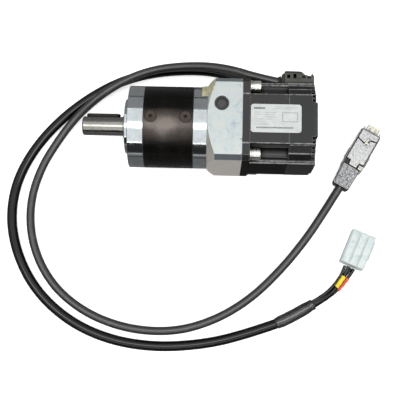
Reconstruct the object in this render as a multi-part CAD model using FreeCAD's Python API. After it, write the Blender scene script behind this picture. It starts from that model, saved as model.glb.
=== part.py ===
import math
import os

from FreeCAD import Placement, Rotation, Vector
import Part

# Planetary gear reducer with its servo motor, laid on its side.
# Origin: centre of the output mounting face. +X runs along the shaft axis towards the motor,
# +Z points up from the surface that the unit lies on. Everything is in millimetres.

# ---- driving dimensions -------------------------------------------------------------------
FRAME_SIZE = 60.0            # across the flats of the motor, and the diameter of the gearbox
HALF = FRAME_SIZE / 2
FLOOR_Z = -HALF
EDGE = 0.4                   # break on sharp turned and milled edges

FLANGE_END = 11.5            # steel front housing, from the mounting face
SLEEVE_END = 47.0            # black ring-gear sleeve
REAR_RING_END = 57.0         # steel rear flange
CONE_END = 62.6              # cone on the motor adapter
ADAPTER_END = 82.0           # motor adapter, up to the motor's mounting face
MOTOR_FLANGE_END = 87.5
STATOR_END = 115.0
COVER_END = 134.0
CORNER_R = 40.0              # turned corners of the adapter and of the motor flange

SHAFT_TIP = -35.0
SHAFT_R = 7.0
SHAFT_SHOULDER = -5.0
PILOT_R = 20.0
PILOT_LENGTH = 3.0
FACE_BOLT_R = 26.0           # four M5 holes in the mounting face
MOTOR_BOLT_R = 35.0          # four M5 screws that hold the motor
FACES = (0, 90, 180, 270)    # angles of the four flats, and of the sleeve screws in them
CORNERS = (45, 135, 225, 315)
KEY = dict(start=-30.0, end=-10.0, half=2.5, bottom=4.0, top=9.0)

MODULE = 1.0
SUN_TEETH = 12
PLANET_TEETH = 18
RING_TEETH = 48
PRESSURE_ANGLE = math.radians(20)
ADDENDUM = 0.8 * MODULE
DEDENDUM = 1.05 * MODULE
BACKLASH = 0.2               # per tooth, shared by its two flanks
CENTRE_DISTANCE = MODULE * (SUN_TEETH + PLANET_TEETH) / 2
PLANET_ANGLES = (0, 120, 240)

SPIGOT_R = 26.0              # both end plates plug into the sleeve at this radius
SPIGOT_FIT = 0.03
FRONT_SPIGOT_END = 24.6
REAR_SPIGOT_START = 38.6
SLEEVE_SCREW_X = (16.9, 41.7)
PRESS_GAP = 0.02             # modelled gap at each press fit
RUNNING_GAP = 0.06           # radial clearance of each plain bearing and seal lip

OUTPUT_BEARINGS_X = (2.0, 12.0)
OUTPUT_BEARING = dict(inner=8.5, outer=17.5, width=10.0, ball=2.38, balls=9)
INPUT_BEARINGS_X = (43.0, 82.5, 115.0)
INPUT_BEARING = dict(inner=7.5, outer=16.0, width=9.0, ball=2.38, balls=8)
BALL_GAP = 0.1

CARRIER_DISC = (25.2, 28.7)
CARRIER_PLATE = (38.7, 41.2)
CARRIER_R = 20.5
PLANET_GEAR = (29.2, 38.2)
PIN_R = 2.5
BUSH_R = 3.6

CLAMP_START = 59.5           # clamp hub on the motor shaft
CLAMP_END = 76.0
CLAMP_R = 17.0
CLAMP_SCREW_X = 67.2
CLAMP_SCREW_Y = 10.7
ADAPTER_CAVITY_R = 21.0
ACCESS_HOLE_R = 5.0

FLAT_HALF = 18.2             # half width of the flats that run along the motor
SHELL_R = 32.6               # turned radius between the flats
TROUGH_R = 4.7               # groove that lets each motor screw in
COVER_SCREW_R = 28.7         # four M2.5 screws through the rear cover into the shell
ENCODER_CAVITY_R = 27.0

CONNECTOR_START = 110.2
CONNECTOR_HALF = 7.3         # half width of each connector along Z
CONNECTOR_Z = 9.0            # signal connector above the axis, power connector below it
CONNECTOR_SCREW_X = 127.3
CABLE_Y = 33.8
BOOT_TIP = 108.2

SIGNAL_R = 3.1
POWER_R = 3.7
LEAD_R = 1.2

# ---- routes of the two cables and of the four leads, as hand-laid points -------------------
SIGNAL_ROUTE = (
    (108.2, 33.8, 9.0), (92.0, 37.3, 8.5), (76.0, 43.5, 5.0), (58.0, 48.0, 0.0),
    (39.0, 49.5, -5.0), (19.0, 48.5, -9.5), (1.0, 43.6, -12.0), (-16.0, 34.6, -13.5),
    (-31.0, 24.5, -18.0), (-46.0, 11.5, -24.0), (-58.5, -6.0, -26.6), (-69.5, -26.0, -26.8),
    (-76.3, -50.0, -26.8), (-75.6, -76.0, -26.8), (-66.6, -101.5, -26.8), (-50.0, -123.0, -26.8),
    (-24.5, -139.5, -26.8), (6.0, -148.3, -26.8), (38.0, -148.5, -26.8), (67.0, -139.0, -26.8),
    (92.5, -122.8, -26.8), (115.5, -99.6, -26.8), (134.0, -76.0, -26.3), (147.5, -54.8, -25.2),
    (158.1, -37.3, -24.5),
)
POWER_ROUTE = (
    (108.2, 33.8, -9.0), (92.0, 37.3, -10.0), (76.0, 45.0, -14.0), (57.0, 51.0, -19.5),
    (36.0, 52.6, -24.0), (14.0, 50.8, -26.1), (-9.0, 44.4, -26.2), (-32.0, 31.8, -26.2),
    (-55.0, 13.3, -26.2), (-75.0, -10.5, -26.2), (-88.0, -37.5, -26.2), (-91.0, -66.0, -26.2),
    (-84.0, -94.5, -26.2), (-68.0, -121.5, -26.2), (-42.5, -143.0, -26.2), (-12.5, -155.6, -26.2),
    (20.0, -160.2, -26.2), (53.0, -158.0, -26.2), (83.0, -151.3, -26.0), (110.5, -141.2, -25.4),
)
# The heat-shrink sleeve carries the power cable on to the point where its leads come out.
SHRINK_ROUTE = ((110.5, -141.2, -25.4), (125.0, -134.6, -25.2), (138.5, -125.6, -25.0))
SHRINK_R = 4.5
LEAD_ROUTES = (
    ((137.3, -124.5, -23.8), (145.4, -119.5, -23.8), (151.4, -114.2, -23.7), (155.9, -107.2, -23.2),
     (158.7, -102.0, -22.5), (160.9, -96.8, -22.0)),
    ((138.7, -126.5, -23.8), (146.8, -121.6, -23.8), (153.3, -115.9, -23.6), (158.6, -108.6, -23.0),
     (161.9, -103.2, -22.4), (164.0, -97.7, -22.0)),
    ((137.3, -124.5, -26.4), (145.6, -120.2, -26.7), (152.8, -114.6, -27.0), (158.8, -107.8, -26.8),
     (163.4, -102.6, -26.0), (166.4, -98.4, -25.2)),
    ((138.7, -126.5, -26.4), (148.0, -121.6, -26.8), (155.8, -115.9, -27.2), (161.8, -109.0, -26.6),
     (165.8, -103.6, -25.6), (168.5, -99.2, -24.6)),
)
# Each marker sleeve lies round one lead: number of the lead, then the sleeve's own points.
YELLOW_MARKER = (2, ((155.1, -113.1, -23.4), (158.4, -108.7, -23.0), (160.7, -104.9, -22.6)))
RED_MARKER = (4, ((156.6, -115.0, -27.1), (161.4, -109.3, -26.6), (163.9, -105.9, -26.1)))
MARKER_R = 1.6

# Both plugs lie flat: centre of the cable end, centre of the front end, width at each end.
SIGNAL_PLUG = dict(rear=(158.1, -37.3), front=(181.9, 4.7), rear_width=13.2, front_width=16.0,
                   bottom=-30.0, top=-18.8)
POWER_PLUG = dict(rear=(166.0, -97.0), front=(175.8, -73.0), width=18.0, bottom=-30.0, top=-16.4)


# ---- small helpers -------------------------------------------------------------------------
def write(name, shapes):
    """Write one sub-part, a single solid or a group of separate solids, as its own STEP."""
    if not isinstance(shapes, (list, tuple)):
        shapes = [shapes]
    Part.makeCompound(list(shapes)).exportStep("parts/" + name + ".step")


def lathe(outline):
    """Turn a closed outline of (x, radius) points about the shaft axis."""
    points = [Vector(x, radius, 0) for x, radius in outline]
    face = Part.Face(Part.makePolygon(points + points[:1]))
    return face.revolve(Vector(0, 0, 0), Vector(1, 0, 0), 360)


def disc(start, end, radius):
    return Part.makeCylinder(radius, end - start, Vector(start, 0, 0), Vector(1, 0, 0))


def ring(start, end, outer, inner):
    return disc(start, end, outer).cut(disc(start - 1, end + 1, inner))


def bar(low, high):
    """A rectangular block between two opposite corners."""
    size = [high[i] - low[i] for i in range(3)]
    return Part.makeBox(size[0], size[1], size[2], Vector(*low))


def polar(x, radius, degrees):
    """A point at an angle about the shaft axis, measured from +Y towards +Z."""
    turn = math.radians(degrees)
    return Vector(x, radius * math.cos(turn), radius * math.sin(turn))


def rod(start, direction, radius, length):
    return Part.makeCylinder(radius, length, Vector(start), Vector(direction))


def fused(shapes):
    shapes = list(shapes)
    if len(shapes) == 1:
        return shapes[0]
    return shapes[0].multiFuse(shapes[1:]).removeSplitter()


def prism(outline, start, end):
    """Extrude a closed outline of (y, z) points along X."""
    points = [Vector(start, y, z) for y, z in outline]
    face = Part.Face(Part.makePolygon(points + points[:1]))
    return face.extrude(Vector(end - start, 0, 0))


def placed(shape, position, direction):
    """Move a shape that was made about +Z at the origin so that its +Z points along direction."""
    shape = shape.copy()
    shape.Placement = Placement(Vector(position), Rotation(Vector(0, 0, 1), Vector(direction)))
    return shape


def square_with_turned_corners(start, end, corner_r):
    body = bar((start, -HALF, -HALF), (end, HALF, HALF))
    return body.common(disc(start, end, corner_r))


def around(shape, count, first=0.0):
    """Copies of a shape, evenly spaced about the shaft axis."""
    copies = []
    for index in range(count):
        copy = shape.copy()
        copy.rotate(Vector(0, 0, 0), Vector(1, 0, 0), first + index * 360.0 / count)
        copies.append(copy)
    return copies


# ---- fasteners -----------------------------------------------------------------------------
def hexagon_socket(flats, bottom, height):
    """Six-sided cutter about +Z, with its floor at a given height."""
    corner_r = flats / math.sqrt(3)
    corners = [Vector(corner_r * math.cos(math.radians(60 * k)), corner_r * math.sin(math.radians(60 * k)),
                      bottom) for k in range(7)]
    return Part.Face(Part.makePolygon(corners)).extrude(Vector(0, 0, height))


def cap_screw(thread_r, length, head_r, head_height, socket_flats):
    """Hexagon socket cap screw: seat at z = 0, head towards +Z, thread towards -Z."""
    head = Part.makeCylinder(head_r, head_height)
    top_edge = [edge for edge in head.Edges if edge.BoundBox.ZMin > head_height - 0.01]
    head = head.makeChamfer(0.35, top_edge)
    socket = hexagon_socket(socket_flats, head_height * 0.45, head_height)
    shank = Part.makeCylinder(thread_r, length, Vector(0, 0, -length))
    end_edge = [edge for edge in shank.Edges if edge.BoundBox.ZMax < 0.01 - length]
    shank = shank.makeChamfer(0.4, end_edge)
    return fused([head, shank]).cut(socket)


def countersunk_screw(thread_r, length, head_r, socket_flats):
    """Countersunk socket screw: head's flat top at z = 0, thread towards -Z."""
    cone_height = head_r - thread_r
    head = Part.makeCone(thread_r, head_r - 0.15, cone_height, Vector(0, 0, -cone_height - 0.2))
    rim = Part.makeCylinder(head_r - 0.15, 0.2, Vector(0, 0, -0.2))
    shank = Part.makeCylinder(thread_r, length - cone_height, Vector(0, 0, -length))
    return fused([shank, head, rim]).cut(hexagon_socket(socket_flats, -1.6, 3))


def spring_washer(inner, outer, height):
    """Split washer about +Z from z = 0."""
    body = Part.makeCylinder(outer, height).cut(Part.makeCylinder(inner, height))
    gap = Part.makeBox(outer + 1, 0.7, height, Vector(0, -0.35, 0))
    return body.cut(gap)


# ---- gears ---------------------------------------------------------------------------------
def involute(angle):
    return math.tan(angle) - angle


def gear_outline(teeth, tip_r, root_r, thinning):
    """Closed wire of a gear section in the YZ plane, with a tooth centred on +Y."""
    pitch_r = MODULE * teeth / 2
    base_r = pitch_r * math.cos(PRESSURE_ANGLE)
    half_at_pitch = math.pi / (2 * teeth) - thinning / (2 * pitch_r)

    def half_angle(radius):
        pressure = math.acos(min(1.0, base_r / radius))
        return half_at_pitch + involute(PRESSURE_ANGLE) - involute(pressure)

    start_r = max(base_r, root_r)
    steps = 5
    radii = [start_r + (tip_r - start_r) * k / (steps - 1) for k in range(steps)]
    edges = []
    for tooth in range(teeth):
        centre = 2 * math.pi * tooth / teeth
        following = 2 * math.pi * (tooth + 1) / teeth

        def point(radius, angle):
            return Vector(0, radius * math.cos(angle), radius * math.sin(angle))

        rising = [point(radius, centre - half_angle(radius)) for radius in radii]
        falling = [point(radius, centre + half_angle(radius)) for radius in reversed(radii)]
        if root_r < start_r:
            edges.append(Part.LineSegment(point(root_r, centre - half_angle(start_r)), rising[0]).toShape())
        for flank in (rising, falling):
            curve = Part.BSplineCurve()
            curve.interpolate(flank)
            if flank is falling:
                edges.append(Part.Arc(rising[-1], point(tip_r, centre), falling[0]).toShape())
            edges.append(curve.toShape())
        if root_r < start_r:
            foot = point(root_r, centre + half_angle(start_r))
            edges.append(Part.LineSegment(falling[-1], foot).toShape())
        edges.append(Part.Arc(point(root_r, centre + half_angle(start_r)),
                              point(root_r, (centre + following) / 2),
                              point(root_r, following - half_angle(start_r))).toShape())
    return Part.Wire(edges)


def gear_solid(teeth, tip_r, root_r, thinning, start, end):
    solid = Part.Face(gear_outline(teeth, tip_r, root_r, thinning)).extrude(Vector(end - start, 0, 0))
    solid.translate(Vector(start, 0, 0))
    return solid


# ---- ball bearings -------------------------------------------------------------------------
def ball_bearing(start, inner, outer, width, ball, balls):
    """Inner ring, outer ring and the cage with its balls, all about the shaft axis."""
    end = start + width
    middle = start + width / 2
    pitch_r = (inner + outer) / 2
    shoulder = 0.6 * ball
    groove = Part.makeTorus(pitch_r, ball + BALL_GAP, Vector(middle, 0, 0), Vector(1, 0, 0))
    bevel = 0.5
    inner_ring = lathe([(start, inner + bevel), (start + bevel, inner + PRESS_GAP),
                        (end - bevel, inner + PRESS_GAP), (end, inner + bevel),
                        (end, pitch_r - shoulder), (start, pitch_r - shoulder)]).cut(groove)
    outer_ring = lathe([(start, outer - bevel), (start + bevel, outer),
                        (end - bevel, outer), (end, outer - bevel),
                        (end, pitch_r + shoulder), (start, pitch_r + shoulder)]).cut(groove)
    cage = ring(middle - ball - 0.6, middle + ball + 0.6, pitch_r + 0.6, pitch_r - 0.6)
    pocket = Part.makeSphere(ball + 0.05, Vector(middle, pitch_r, 0))
    sphere = Part.makeSphere(ball, Vector(middle, pitch_r, 0))
    for hole in around(pocket, balls):
        cage = cage.cut(hole)
    return inner_ring, outer_ring, [cage] + around(sphere, balls)


# ---- cables --------------------------------------------------------------------------------
def cable(name, route, radius):
    """Round cable along straight runs joined by tangent arcs, each as large as its runs allow.

    A named cable prints its length, its tightest arc and how its volume compares.
    """
    points = [Vector(*point) for point in route]
    edges = []
    here = points[0]
    tightest = None
    for before, corner, after in zip(points, points[1:], points[2:]):
        to_before = (before - corner).normalize()
        to_after = (after - corner).normalize()
        shorter = min((before - corner).Length, (after - corner).Length)
        half_turn = (math.pi - to_before.getAngle(to_after)) / 2
        arc_r = 0.45 * shorter / math.tan(half_turn)
        tightest = arc_r if tightest is None else min(tightest, arc_r)
        arc_start = corner + to_before * (0.45 * shorter)
        arc_end = corner + to_after * (0.45 * shorter)
        inward = (to_before + to_after).normalize()
        arc_middle = corner + inward * (arc_r / math.cos(half_turn) - arc_r)
        edges.append(Part.LineSegment(here, arc_start).toShape())
        edges.append(Part.Arc(arc_start, arc_middle, arc_end).toShape())
        here = arc_end
    edges.append(Part.LineSegment(here, points[-1]).toShape())
    path = Part.Wire(edges)
    section = Part.Wire(Part.Circle(points[0], points[1] - points[0], radius).toShape())
    tube = path.makePipeShell([section], True, False)
    if name:
        share = tube.Volume / (math.pi * radius ** 2 * path.Length)
        print("%s: length %.0f mm, tightest arc %.1f mm, volume / (section x length) %.4f, valid %s"
              % (name, path.Length, tightest, share, tube.isValid()))
    return tube


# ---- gearbox housing -----------------------------------------------------------------------
def front_housing():
    """Steel end plate with the pilot, both output bearings and the radial screw holes."""
    body = lathe([(-PILOT_LENGTH, 15.0 + EDGE), (-PILOT_LENGTH, PILOT_R - EDGE),
                  (EDGE - PILOT_LENGTH, PILOT_R), (0, PILOT_R), (0, HALF - EDGE), (EDGE, HALF),
                  (FLANGE_END - 0.25, HALF), (FLANGE_END, HALF - 0.25), (FLANGE_END, SPIGOT_R - SPIGOT_FIT),
                  (FRONT_SPIGOT_END - 1, SPIGOT_R - SPIGOT_FIT), (FRONT_SPIGOT_END, SPIGOT_R - 1),
                  (FRONT_SPIGOT_END, 17.52), (23.35, 17.52), (23.35, 18.5), (22.05, 18.5), (22.05, 17.52),
                  (2.0, 17.52), (2.0, 15.0), (EDGE - PILOT_LENGTH, 15.0)])
    for angle in CORNERS:
        body = body.cut(rod(polar(-0.5, FACE_BOLT_R, angle), (1, 0, 0), 2.1, 10.5))
    for angle in FACES:
        body = body.cut(rod(polar(SLEEVE_SCREW_X[0], 19.5, angle), polar(0, 1, angle), 2.1, 10))
    return body


def bearing_circlip():
    """Internal circlip behind the output bearings, open at the bottom."""
    body = ring(22.1, 23.3, 18.4, 15.4)
    for angle in (262, 278):
        body = body.fuse(rod(polar(22.1, 15.6, angle), (1, 0, 0), 1.5, 1.2))
        body = body.cut(rod(polar(22.0, 15.4, angle), (1, 0, 0), 0.7, 2))
    return body.cut(bar((21, -0.9, -20), (25, 0.9, -12)))


def ring_gear_sleeve():
    """Black sleeve whose bore carries the ring gear; both end plates plug into it."""
    body = lathe([(FLANGE_END, SPIGOT_R), (FLANGE_END, HALF - 0.25), (FLANGE_END + 0.25, HALF),
                  (SLEEVE_END - 0.25, HALF), (SLEEVE_END, HALF - 0.25), (SLEEVE_END, SPIGOT_R),
                  (38.5, SPIGOT_R), (38.5, 20.0), (24.8, 20.0), (24.8, SPIGOT_R)])
    tooth_space = -BACKLASH
    pitch_r = RING_TEETH * MODULE / 2
    bore = gear_solid(RING_TEETH, pitch_r + DEDENDUM, pitch_r - ADDENDUM, tooth_space, 24.0, 39.0)
    # The spaces between the ring's teeth are centred half a pitch away from its teeth.
    bore.rotate(Vector(0, 0, 0), Vector(1, 0, 0), 180.0 / RING_TEETH)
    body = body.cut(bore)
    for x in SLEEVE_SCREW_X:
        for angle in FACES:
            outward = polar(0, 1, angle)
            body = body.cut(rod(polar(x, 20, angle), outward, 2.15, 12))
            body = body.cut(placed(Part.makeCone(2.1, 4.9, 2.8), polar(x, 27.3, angle), outward))
    return body


def sleeve_screws():
    screw = countersunk_screw(2.0, 9.0, 4.2, 2.5)
    return [placed(screw, polar(x, HALF - 0.2, angle), polar(0, 1, angle))
            for x in SLEEVE_SCREW_X for angle in FACES]


def rear_flange():
    """Steel plate that closes the gear space and carries the input bearing."""
    body = lathe([(REAR_SPIGOT_START, 22.0), (REAR_SPIGOT_START, SPIGOT_R - SPIGOT_FIT),
                  (SLEEVE_END, SPIGOT_R - SPIGOT_FIT), (SLEEVE_END, HALF - 0.25), (SLEEVE_END + 0.25, HALF),
                  (REAR_RING_END - 0.25, HALF), (REAR_RING_END, HALF - 0.25),
                  (REAR_RING_END, ADAPTER_CAVITY_R - 0.1), (58.4, ADAPTER_CAVITY_R - 0.1), (58.4, 13.8),
                  (52.0, 13.8), (52.0, 16.02), (42.0, 16.02), (42.0, 22.0)])
    for angle in CORNERS:
        body = body.cut(rod(polar(REAR_RING_END + 1, FACE_BOLT_R, angle), (-1, 0, 0), 2.1, 9))
    for angle in FACES:
        body = body.cut(rod(polar(SLEEVE_SCREW_X[1], 20.5, angle), polar(0, 1, angle), 2.1, 10))
    return body


def shaft_seal():
    """Rubber lip seal round the output shaft, flush inside the pilot."""
    lip_r = 8.5 + RUNNING_GAP
    return lathe([(-2.7, 14.98), (-2.7, 9.6), (-2.2, 9.1), (-1.2, lip_r), (-0.6, lip_r), (0.4, 10.6),
                  (0.9, 11.6), (1.9, 11.6), (1.9, 14.98)])


# ---- planetary train -----------------------------------------------------------------------
def round_ended_bar(half, bottom, top):
    """The key's outline, standing on the shaft's +Y side."""
    start = (KEY["start"], bottom, 0)
    end = (KEY["end"], bottom, 0)
    return fused([bar((start[0], bottom, -half), (end[0], top, half)),
                  rod(start, (0, 1, 0), half, top - bottom), rod(end, (0, 1, 0), half, top - bottom)])


def output_carrier_shaft():
    """Output shaft and planet carrier in one piece, with keyway and centre thread."""
    body = lathe([(SHAFT_TIP, 0), (SHAFT_TIP, SHAFT_R - 0.9), (SHAFT_TIP + 0.9, SHAFT_R),
                  (SHAFT_SHOULDER, SHAFT_R), (SHAFT_SHOULDER, 8.2), (SHAFT_SHOULDER + 0.3, 8.5),
                  (22.0, 8.5), (22.0, 10.5), (CARRIER_DISC[0], 10.5), (CARRIER_DISC[0], CARRIER_R),
                  (CARRIER_DISC[1], CARRIER_R), (CARRIER_DISC[1], 0)])
    body = body.cut(round_ended_bar(KEY["half"], KEY["bottom"], 12.0))
    body = body.cut(disc(SHAFT_TIP - 1, SHAFT_TIP + 12.5, 2.1))
    body = body.cut(Part.makeCone(3.0, 2.1, 0.9, Vector(SHAFT_TIP, 0, 0), Vector(1, 0, 0)))
    posts = [rod(polar(CARRIER_DISC[1] - 0.5, 16.8, angle + 60), (1, 0, 0), 2.8,
                 CARRIER_PLATE[0] - CARRIER_DISC[1] + 0.5) for angle in PLANET_ANGLES]
    body = fused([body] + posts)
    for angle in PLANET_ANGLES:
        body = body.cut(rod(polar(24, CENTRE_DISTANCE, angle), (1, 0, 0), PIN_R + PRESS_GAP, 6))
    return body


def output_key():
    """Parallel key 5 x 5 x 25 with round ends, standing out of the shaft."""
    key = round_ended_bar(KEY["half"] - PRESS_GAP, KEY["bottom"], KEY["top"])
    return key.makeChamfer(0.25, [edge for edge in key.Edges if edge.BoundBox.YMin > KEY["top"] - 0.01])


def carrier_rear_plate():
    """Ring that holds the far ends of the planet pins."""
    body = ring(CARRIER_PLATE[0], CARRIER_PLATE[1], CARRIER_R, 8.6)
    for angle in PLANET_ANGLES:
        body = body.cut(rod(polar(38, CENTRE_DISTANCE, angle), (1, 0, 0), PIN_R + PRESS_GAP, 6))
    return body


def planet_pins():
    length = CARRIER_PLATE[1] - CARRIER_DISC[0]
    pin = rod(polar(CARRIER_DISC[0], CENTRE_DISTANCE, 0), (1, 0, 0), PIN_R, length)
    return around(pin, len(PLANET_ANGLES))


def planet_gear(angle):
    """Planet gear with its pressed-in bronze bush, already in mesh with sun and ring."""
    pitch_r = PLANET_TEETH * MODULE / 2
    gear = gear_solid(PLANET_TEETH, pitch_r + ADDENDUM, pitch_r - DEDENDUM, BACKLASH, *PLANET_GEAR)
    gear = gear.cut(disc(PLANET_GEAR[0] - 1, PLANET_GEAR[1] + 1, BUSH_R))
    gear.rotate(Vector(0, 0, 0), Vector(1, 0, 0), 180.0 / PLANET_TEETH)
    bush = ring(PLANET_GEAR[0] - 0.2, PLANET_GEAR[1] + 0.2, BUSH_R - PRESS_GAP, PIN_R + RUNNING_GAP)
    centre = polar(0, CENTRE_DISTANCE, angle)
    gear.translate(centre)
    bush.translate(centre)
    return [gear, bush]


def sun_shaft_hub():
    """Sun gear, its shaft, and the slotted clamp hub that grips the motor shaft."""
    pitch_r = SUN_TEETH * MODULE / 2
    sun = gear_solid(SUN_TEETH, pitch_r + ADDENDUM, pitch_r - DEDENDUM, BACKLASH, PLANET_GEAR[0], 38.6)
    shaft = lathe([(38.5, 0), (38.5, 4.9), (40.5, 4.9), (41.0, 7.5), (52.0, 7.5), (52.0, 9.2),
                   (CLAMP_START, 9.2), (CLAMP_START, CLAMP_R - 0.6), (CLAMP_START + 0.6, CLAMP_R),
                   (CLAMP_END - 0.6, CLAMP_R), (CLAMP_END, CLAMP_R - 0.6), (CLAMP_END, SHAFT_R + PRESS_GAP),
                   (CLAMP_START + 1.0, SHAFT_R + PRESS_GAP), (CLAMP_START + 1.0, 0)])
    body = fused([sun, shaft])
    body = body.cut(bar((CLAMP_START + 1.5, SHAFT_R - 1, -0.6), (CLAMP_END + 1, CLAMP_R + 1, 0.6)))
    body = body.cut(rod((CLAMP_SCREW_X, CLAMP_SCREW_Y, -18), (0, 0, 1), 2.6, 36))
    return body.cut(rod((CLAMP_SCREW_X, CLAMP_SCREW_Y, 6.5), (0, 0, 1), 4.6, 10))


def clamp_screw():
    return placed(cap_screw(2.5, 16.0, 4.25, 5.0, 4.0), (CLAMP_SCREW_X, CLAMP_SCREW_Y, 6.5), (0, 0, 1))


# ---- motor adapter -------------------------------------------------------------------------
def motor_adapter():
    """Square block with a cone towards the gearbox and an access hole for the clamp screw."""
    body = bar((REAR_RING_END, -HALF, -HALF), (ADAPTER_END, HALF, HALF))
    body = body.makeChamfer(EDGE, [edge for edge in body.Edges if abs(edge.BoundBox.XLength) > 20])
    turned = lathe([(REAR_RING_END, ADAPTER_CAVITY_R), (REAR_RING_END, HALF), (CONE_END, CORNER_R),
                    (ADAPTER_END - 0.6, CORNER_R), (ADAPTER_END, CORNER_R - 0.6), (ADAPTER_END, 25.04),
                    (78.6, 25.04), (78.6, ADAPTER_CAVITY_R)])
    body = body.common(turned)
    for angle in CORNERS:
        body = body.cut(rod(polar(ADAPTER_END + 1, MOTOR_BOLT_R, angle), (-1, 0, 0), 2.6, 13))
        body = body.cut(rod(polar(REAR_RING_END - 1, FACE_BOLT_R, angle), (1, 0, 0), 2.2, 30))
        body = body.cut(rod(polar(70.0, FACE_BOLT_R, angle), (1, 0, 0), 3.7, 13))
    body = body.cut(rod((CLAMP_SCREW_X, CLAMP_SCREW_Y, 15), (0, 0, 1), ACCESS_HOLE_R, 20))
    rim = Part.makeCone(ACCESS_HOLE_R, ACCESS_HOLE_R + EDGE, EDGE,
                        Vector(CLAMP_SCREW_X, CLAMP_SCREW_Y, HALF - EDGE))
    # A small notch in the rear edge, where a blade can part the block from the motor.
    notch = bar((ADAPTER_END - 1.5, -16.2, HALF - 1.2), (ADAPTER_END + 1, -14.8, HALF + 1))
    return body.cut(rim).cut(notch)


def adapter_screws():
    screw = cap_screw(2.0, 20.0, 3.5, 4.0, 3.0)
    return [placed(screw, polar(70.0, FACE_BOLT_R, angle), (1, 0, 0)) for angle in CORNERS]


def access_plug():
    """Push-in plug that closes the access hole, slightly sunk, with a raised rim."""
    top = HALF - 0.9
    body = rod((CLAMP_SCREW_X, CLAMP_SCREW_Y, top - 5), (0, 0, 1), ACCESS_HOLE_R - 0.05, 5)
    dish = rod((CLAMP_SCREW_X, CLAMP_SCREW_Y, top - 0.7), (0, 0, 1), ACCESS_HOLE_R - 1.1, 2)
    return body.cut(dish)


# ---- motor ---------------------------------------------------------------------------------
def motor_flange():
    """Mounting flange of the motor with its pilot and front bearing seat."""
    plate = square_with_turned_corners(ADAPTER_END, MOTOR_FLANGE_END, CORNER_R)
    rear_edges = [edge for edge in plate.Edges
                  if abs(edge.BoundBox.XLength) < 0.01 and edge.BoundBox.XMax > ADAPTER_END + 1]
    plate = plate.makeChamfer(0.3, rear_edges)
    pilot = disc(79.0, ADAPTER_END, 25.0)
    boss = disc(MOTOR_FLANGE_END - 0.5, 91.5, 20.0)
    body = fused([plate, pilot, boss])
    body = body.cut(disc(78, 100, 8.2))
    body = body.cut(disc(82.5, 100, 16.02))
    for angle in CORNERS:
        body = body.cut(rod(polar(81, MOTOR_BOLT_R, angle), (1, 0, 0), 2.75, 8))
    return body


def stator_housing():
    """Extruded motor shell: four flats, rounded corners and a groove for each screw."""
    start = MOTOR_FLANGE_END
    end = STATOR_END
    round_part = square_with_turned_corners(start, end, SHELL_R)
    upright = bar((start, -FLAT_HALF, -HALF), (end, FLAT_HALF, HALF))
    level = bar((start, -HALF, -FLAT_HALF), (end, HALF, FLAT_HALF))
    body = fused([round_part, upright, level])
    flat_edges = [edge for edge in body.Edges
                  if abs(edge.BoundBox.XLength) > 20
                  and HALF - 0.01 < max(abs(edge.CenterOfMass.y), abs(edge.CenterOfMass.z))]
    body = body.makeFillet(0.9, flat_edges)
    for angle in CORNERS:
        body = body.cut(rod(polar(start - 1, MOTOR_BOLT_R, angle), (1, 0, 0), TROUGH_R, end - start + 2))
        body = body.cut(rod(polar(end + 1, COVER_SCREW_R, angle), (-1, 0, 0), 1.3, 6))
    return body.cut(disc(start - 1, end + 1, ENCODER_CAVITY_R))


def rear_cover():
    """Cup over the encoder with faceted corners and cooling notches along its rear edges."""
    start = STATOR_END
    facet = [(FLAT_HALF, HALF), (FLAT_HALF, 28.0), (23.7, 23.7), (28.0, FLAT_HALF), (HALF, FLAT_HALF)]
    outline = []
    for turn in range(4):
        for y, z in facet:
            for _ in range(turn):
                y, z = z, -y
            outline.append((y, z))
    body = prism(outline, start, COVER_END)
    rim = [edge for edge in body.Edges
           if edge.BoundBox.XMin > COVER_END - 0.01
           and HALF - 0.01 < max(abs(edge.CenterOfMass.y), abs(edge.CenterOfMass.z))]
    body = body.makeFillet(1.2, rim)
    # A low cross-shaped pad makes the rear face proud behind the middle of each flat.
    pads = [bar((COVER_END - 1, -12.2, -HALF), (COVER_END + 1.1, 12.2, HALF)),
            bar((COVER_END - 1, -HALF, -12.2), (COVER_END + 1.1, HALF, 12.2))]
    cross = fused(pads)
    far_edges = [edge for edge in cross.Edges
                 if edge.BoundBox.XMin > COVER_END + 1.09
                 and HALF - 0.01 < max(abs(edge.CenterOfMass.y), abs(edge.CenterOfMass.z))]
    body = fused([body, cross.makeFillet(0.8, far_edges)])
    body = body.cut(disc(start - 1, COVER_END - 2.5, ENCODER_CAVITY_R - 0.03))
    # Notches open at the rear: two beside each edge of each flat and two in each facet.
    for near, far, floor in ((12.6, 14.8, HALF - 2.0), (15.7, 17.6, HALF - 2.0),
                             (19.4, 20.9, 24.2), (22.2, 23.4, 22.9)):
        notch = bar((COVER_END - 2.7, near, floor), (COVER_END + 2, far, HALF + 1))
        mirrored = bar((COVER_END - 2.7, -far, floor), (COVER_END + 2, -near, HALF + 1))
        for cutter in around(notch, 4) + around(mirrored, 4):
            body = body.cut(cutter)
    for angle in CORNERS:
        body = body.cut(rod(polar(start - 1, COVER_SCREW_R, angle), (1, 0, 0), 1.3, 40))
        body = body.cut(rod(polar(COVER_END - 1.5, COVER_SCREW_R, angle), (1, 0, 0), 2.5, 5))
    return body


def rear_cover_screws():
    screw = cap_screw(1.25, 21.0, 2.25, 1.4, 1.5)
    return [placed(screw, polar(COVER_END - 1.5, COVER_SCREW_R, angle), (1, 0, 0))
            for angle in CORNERS]


def rear_bearing_bracket():
    """Plate between stator and cover that holds the motor's rear bearing."""
    return lathe([(112.6, 8.6), (112.6, 26.9), (117.0, 26.9), (117.0, 20.0), (124.0, 20.0),
                  (124.0, 16.02), (115.0, 16.02), (115.0, 8.6)])


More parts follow.
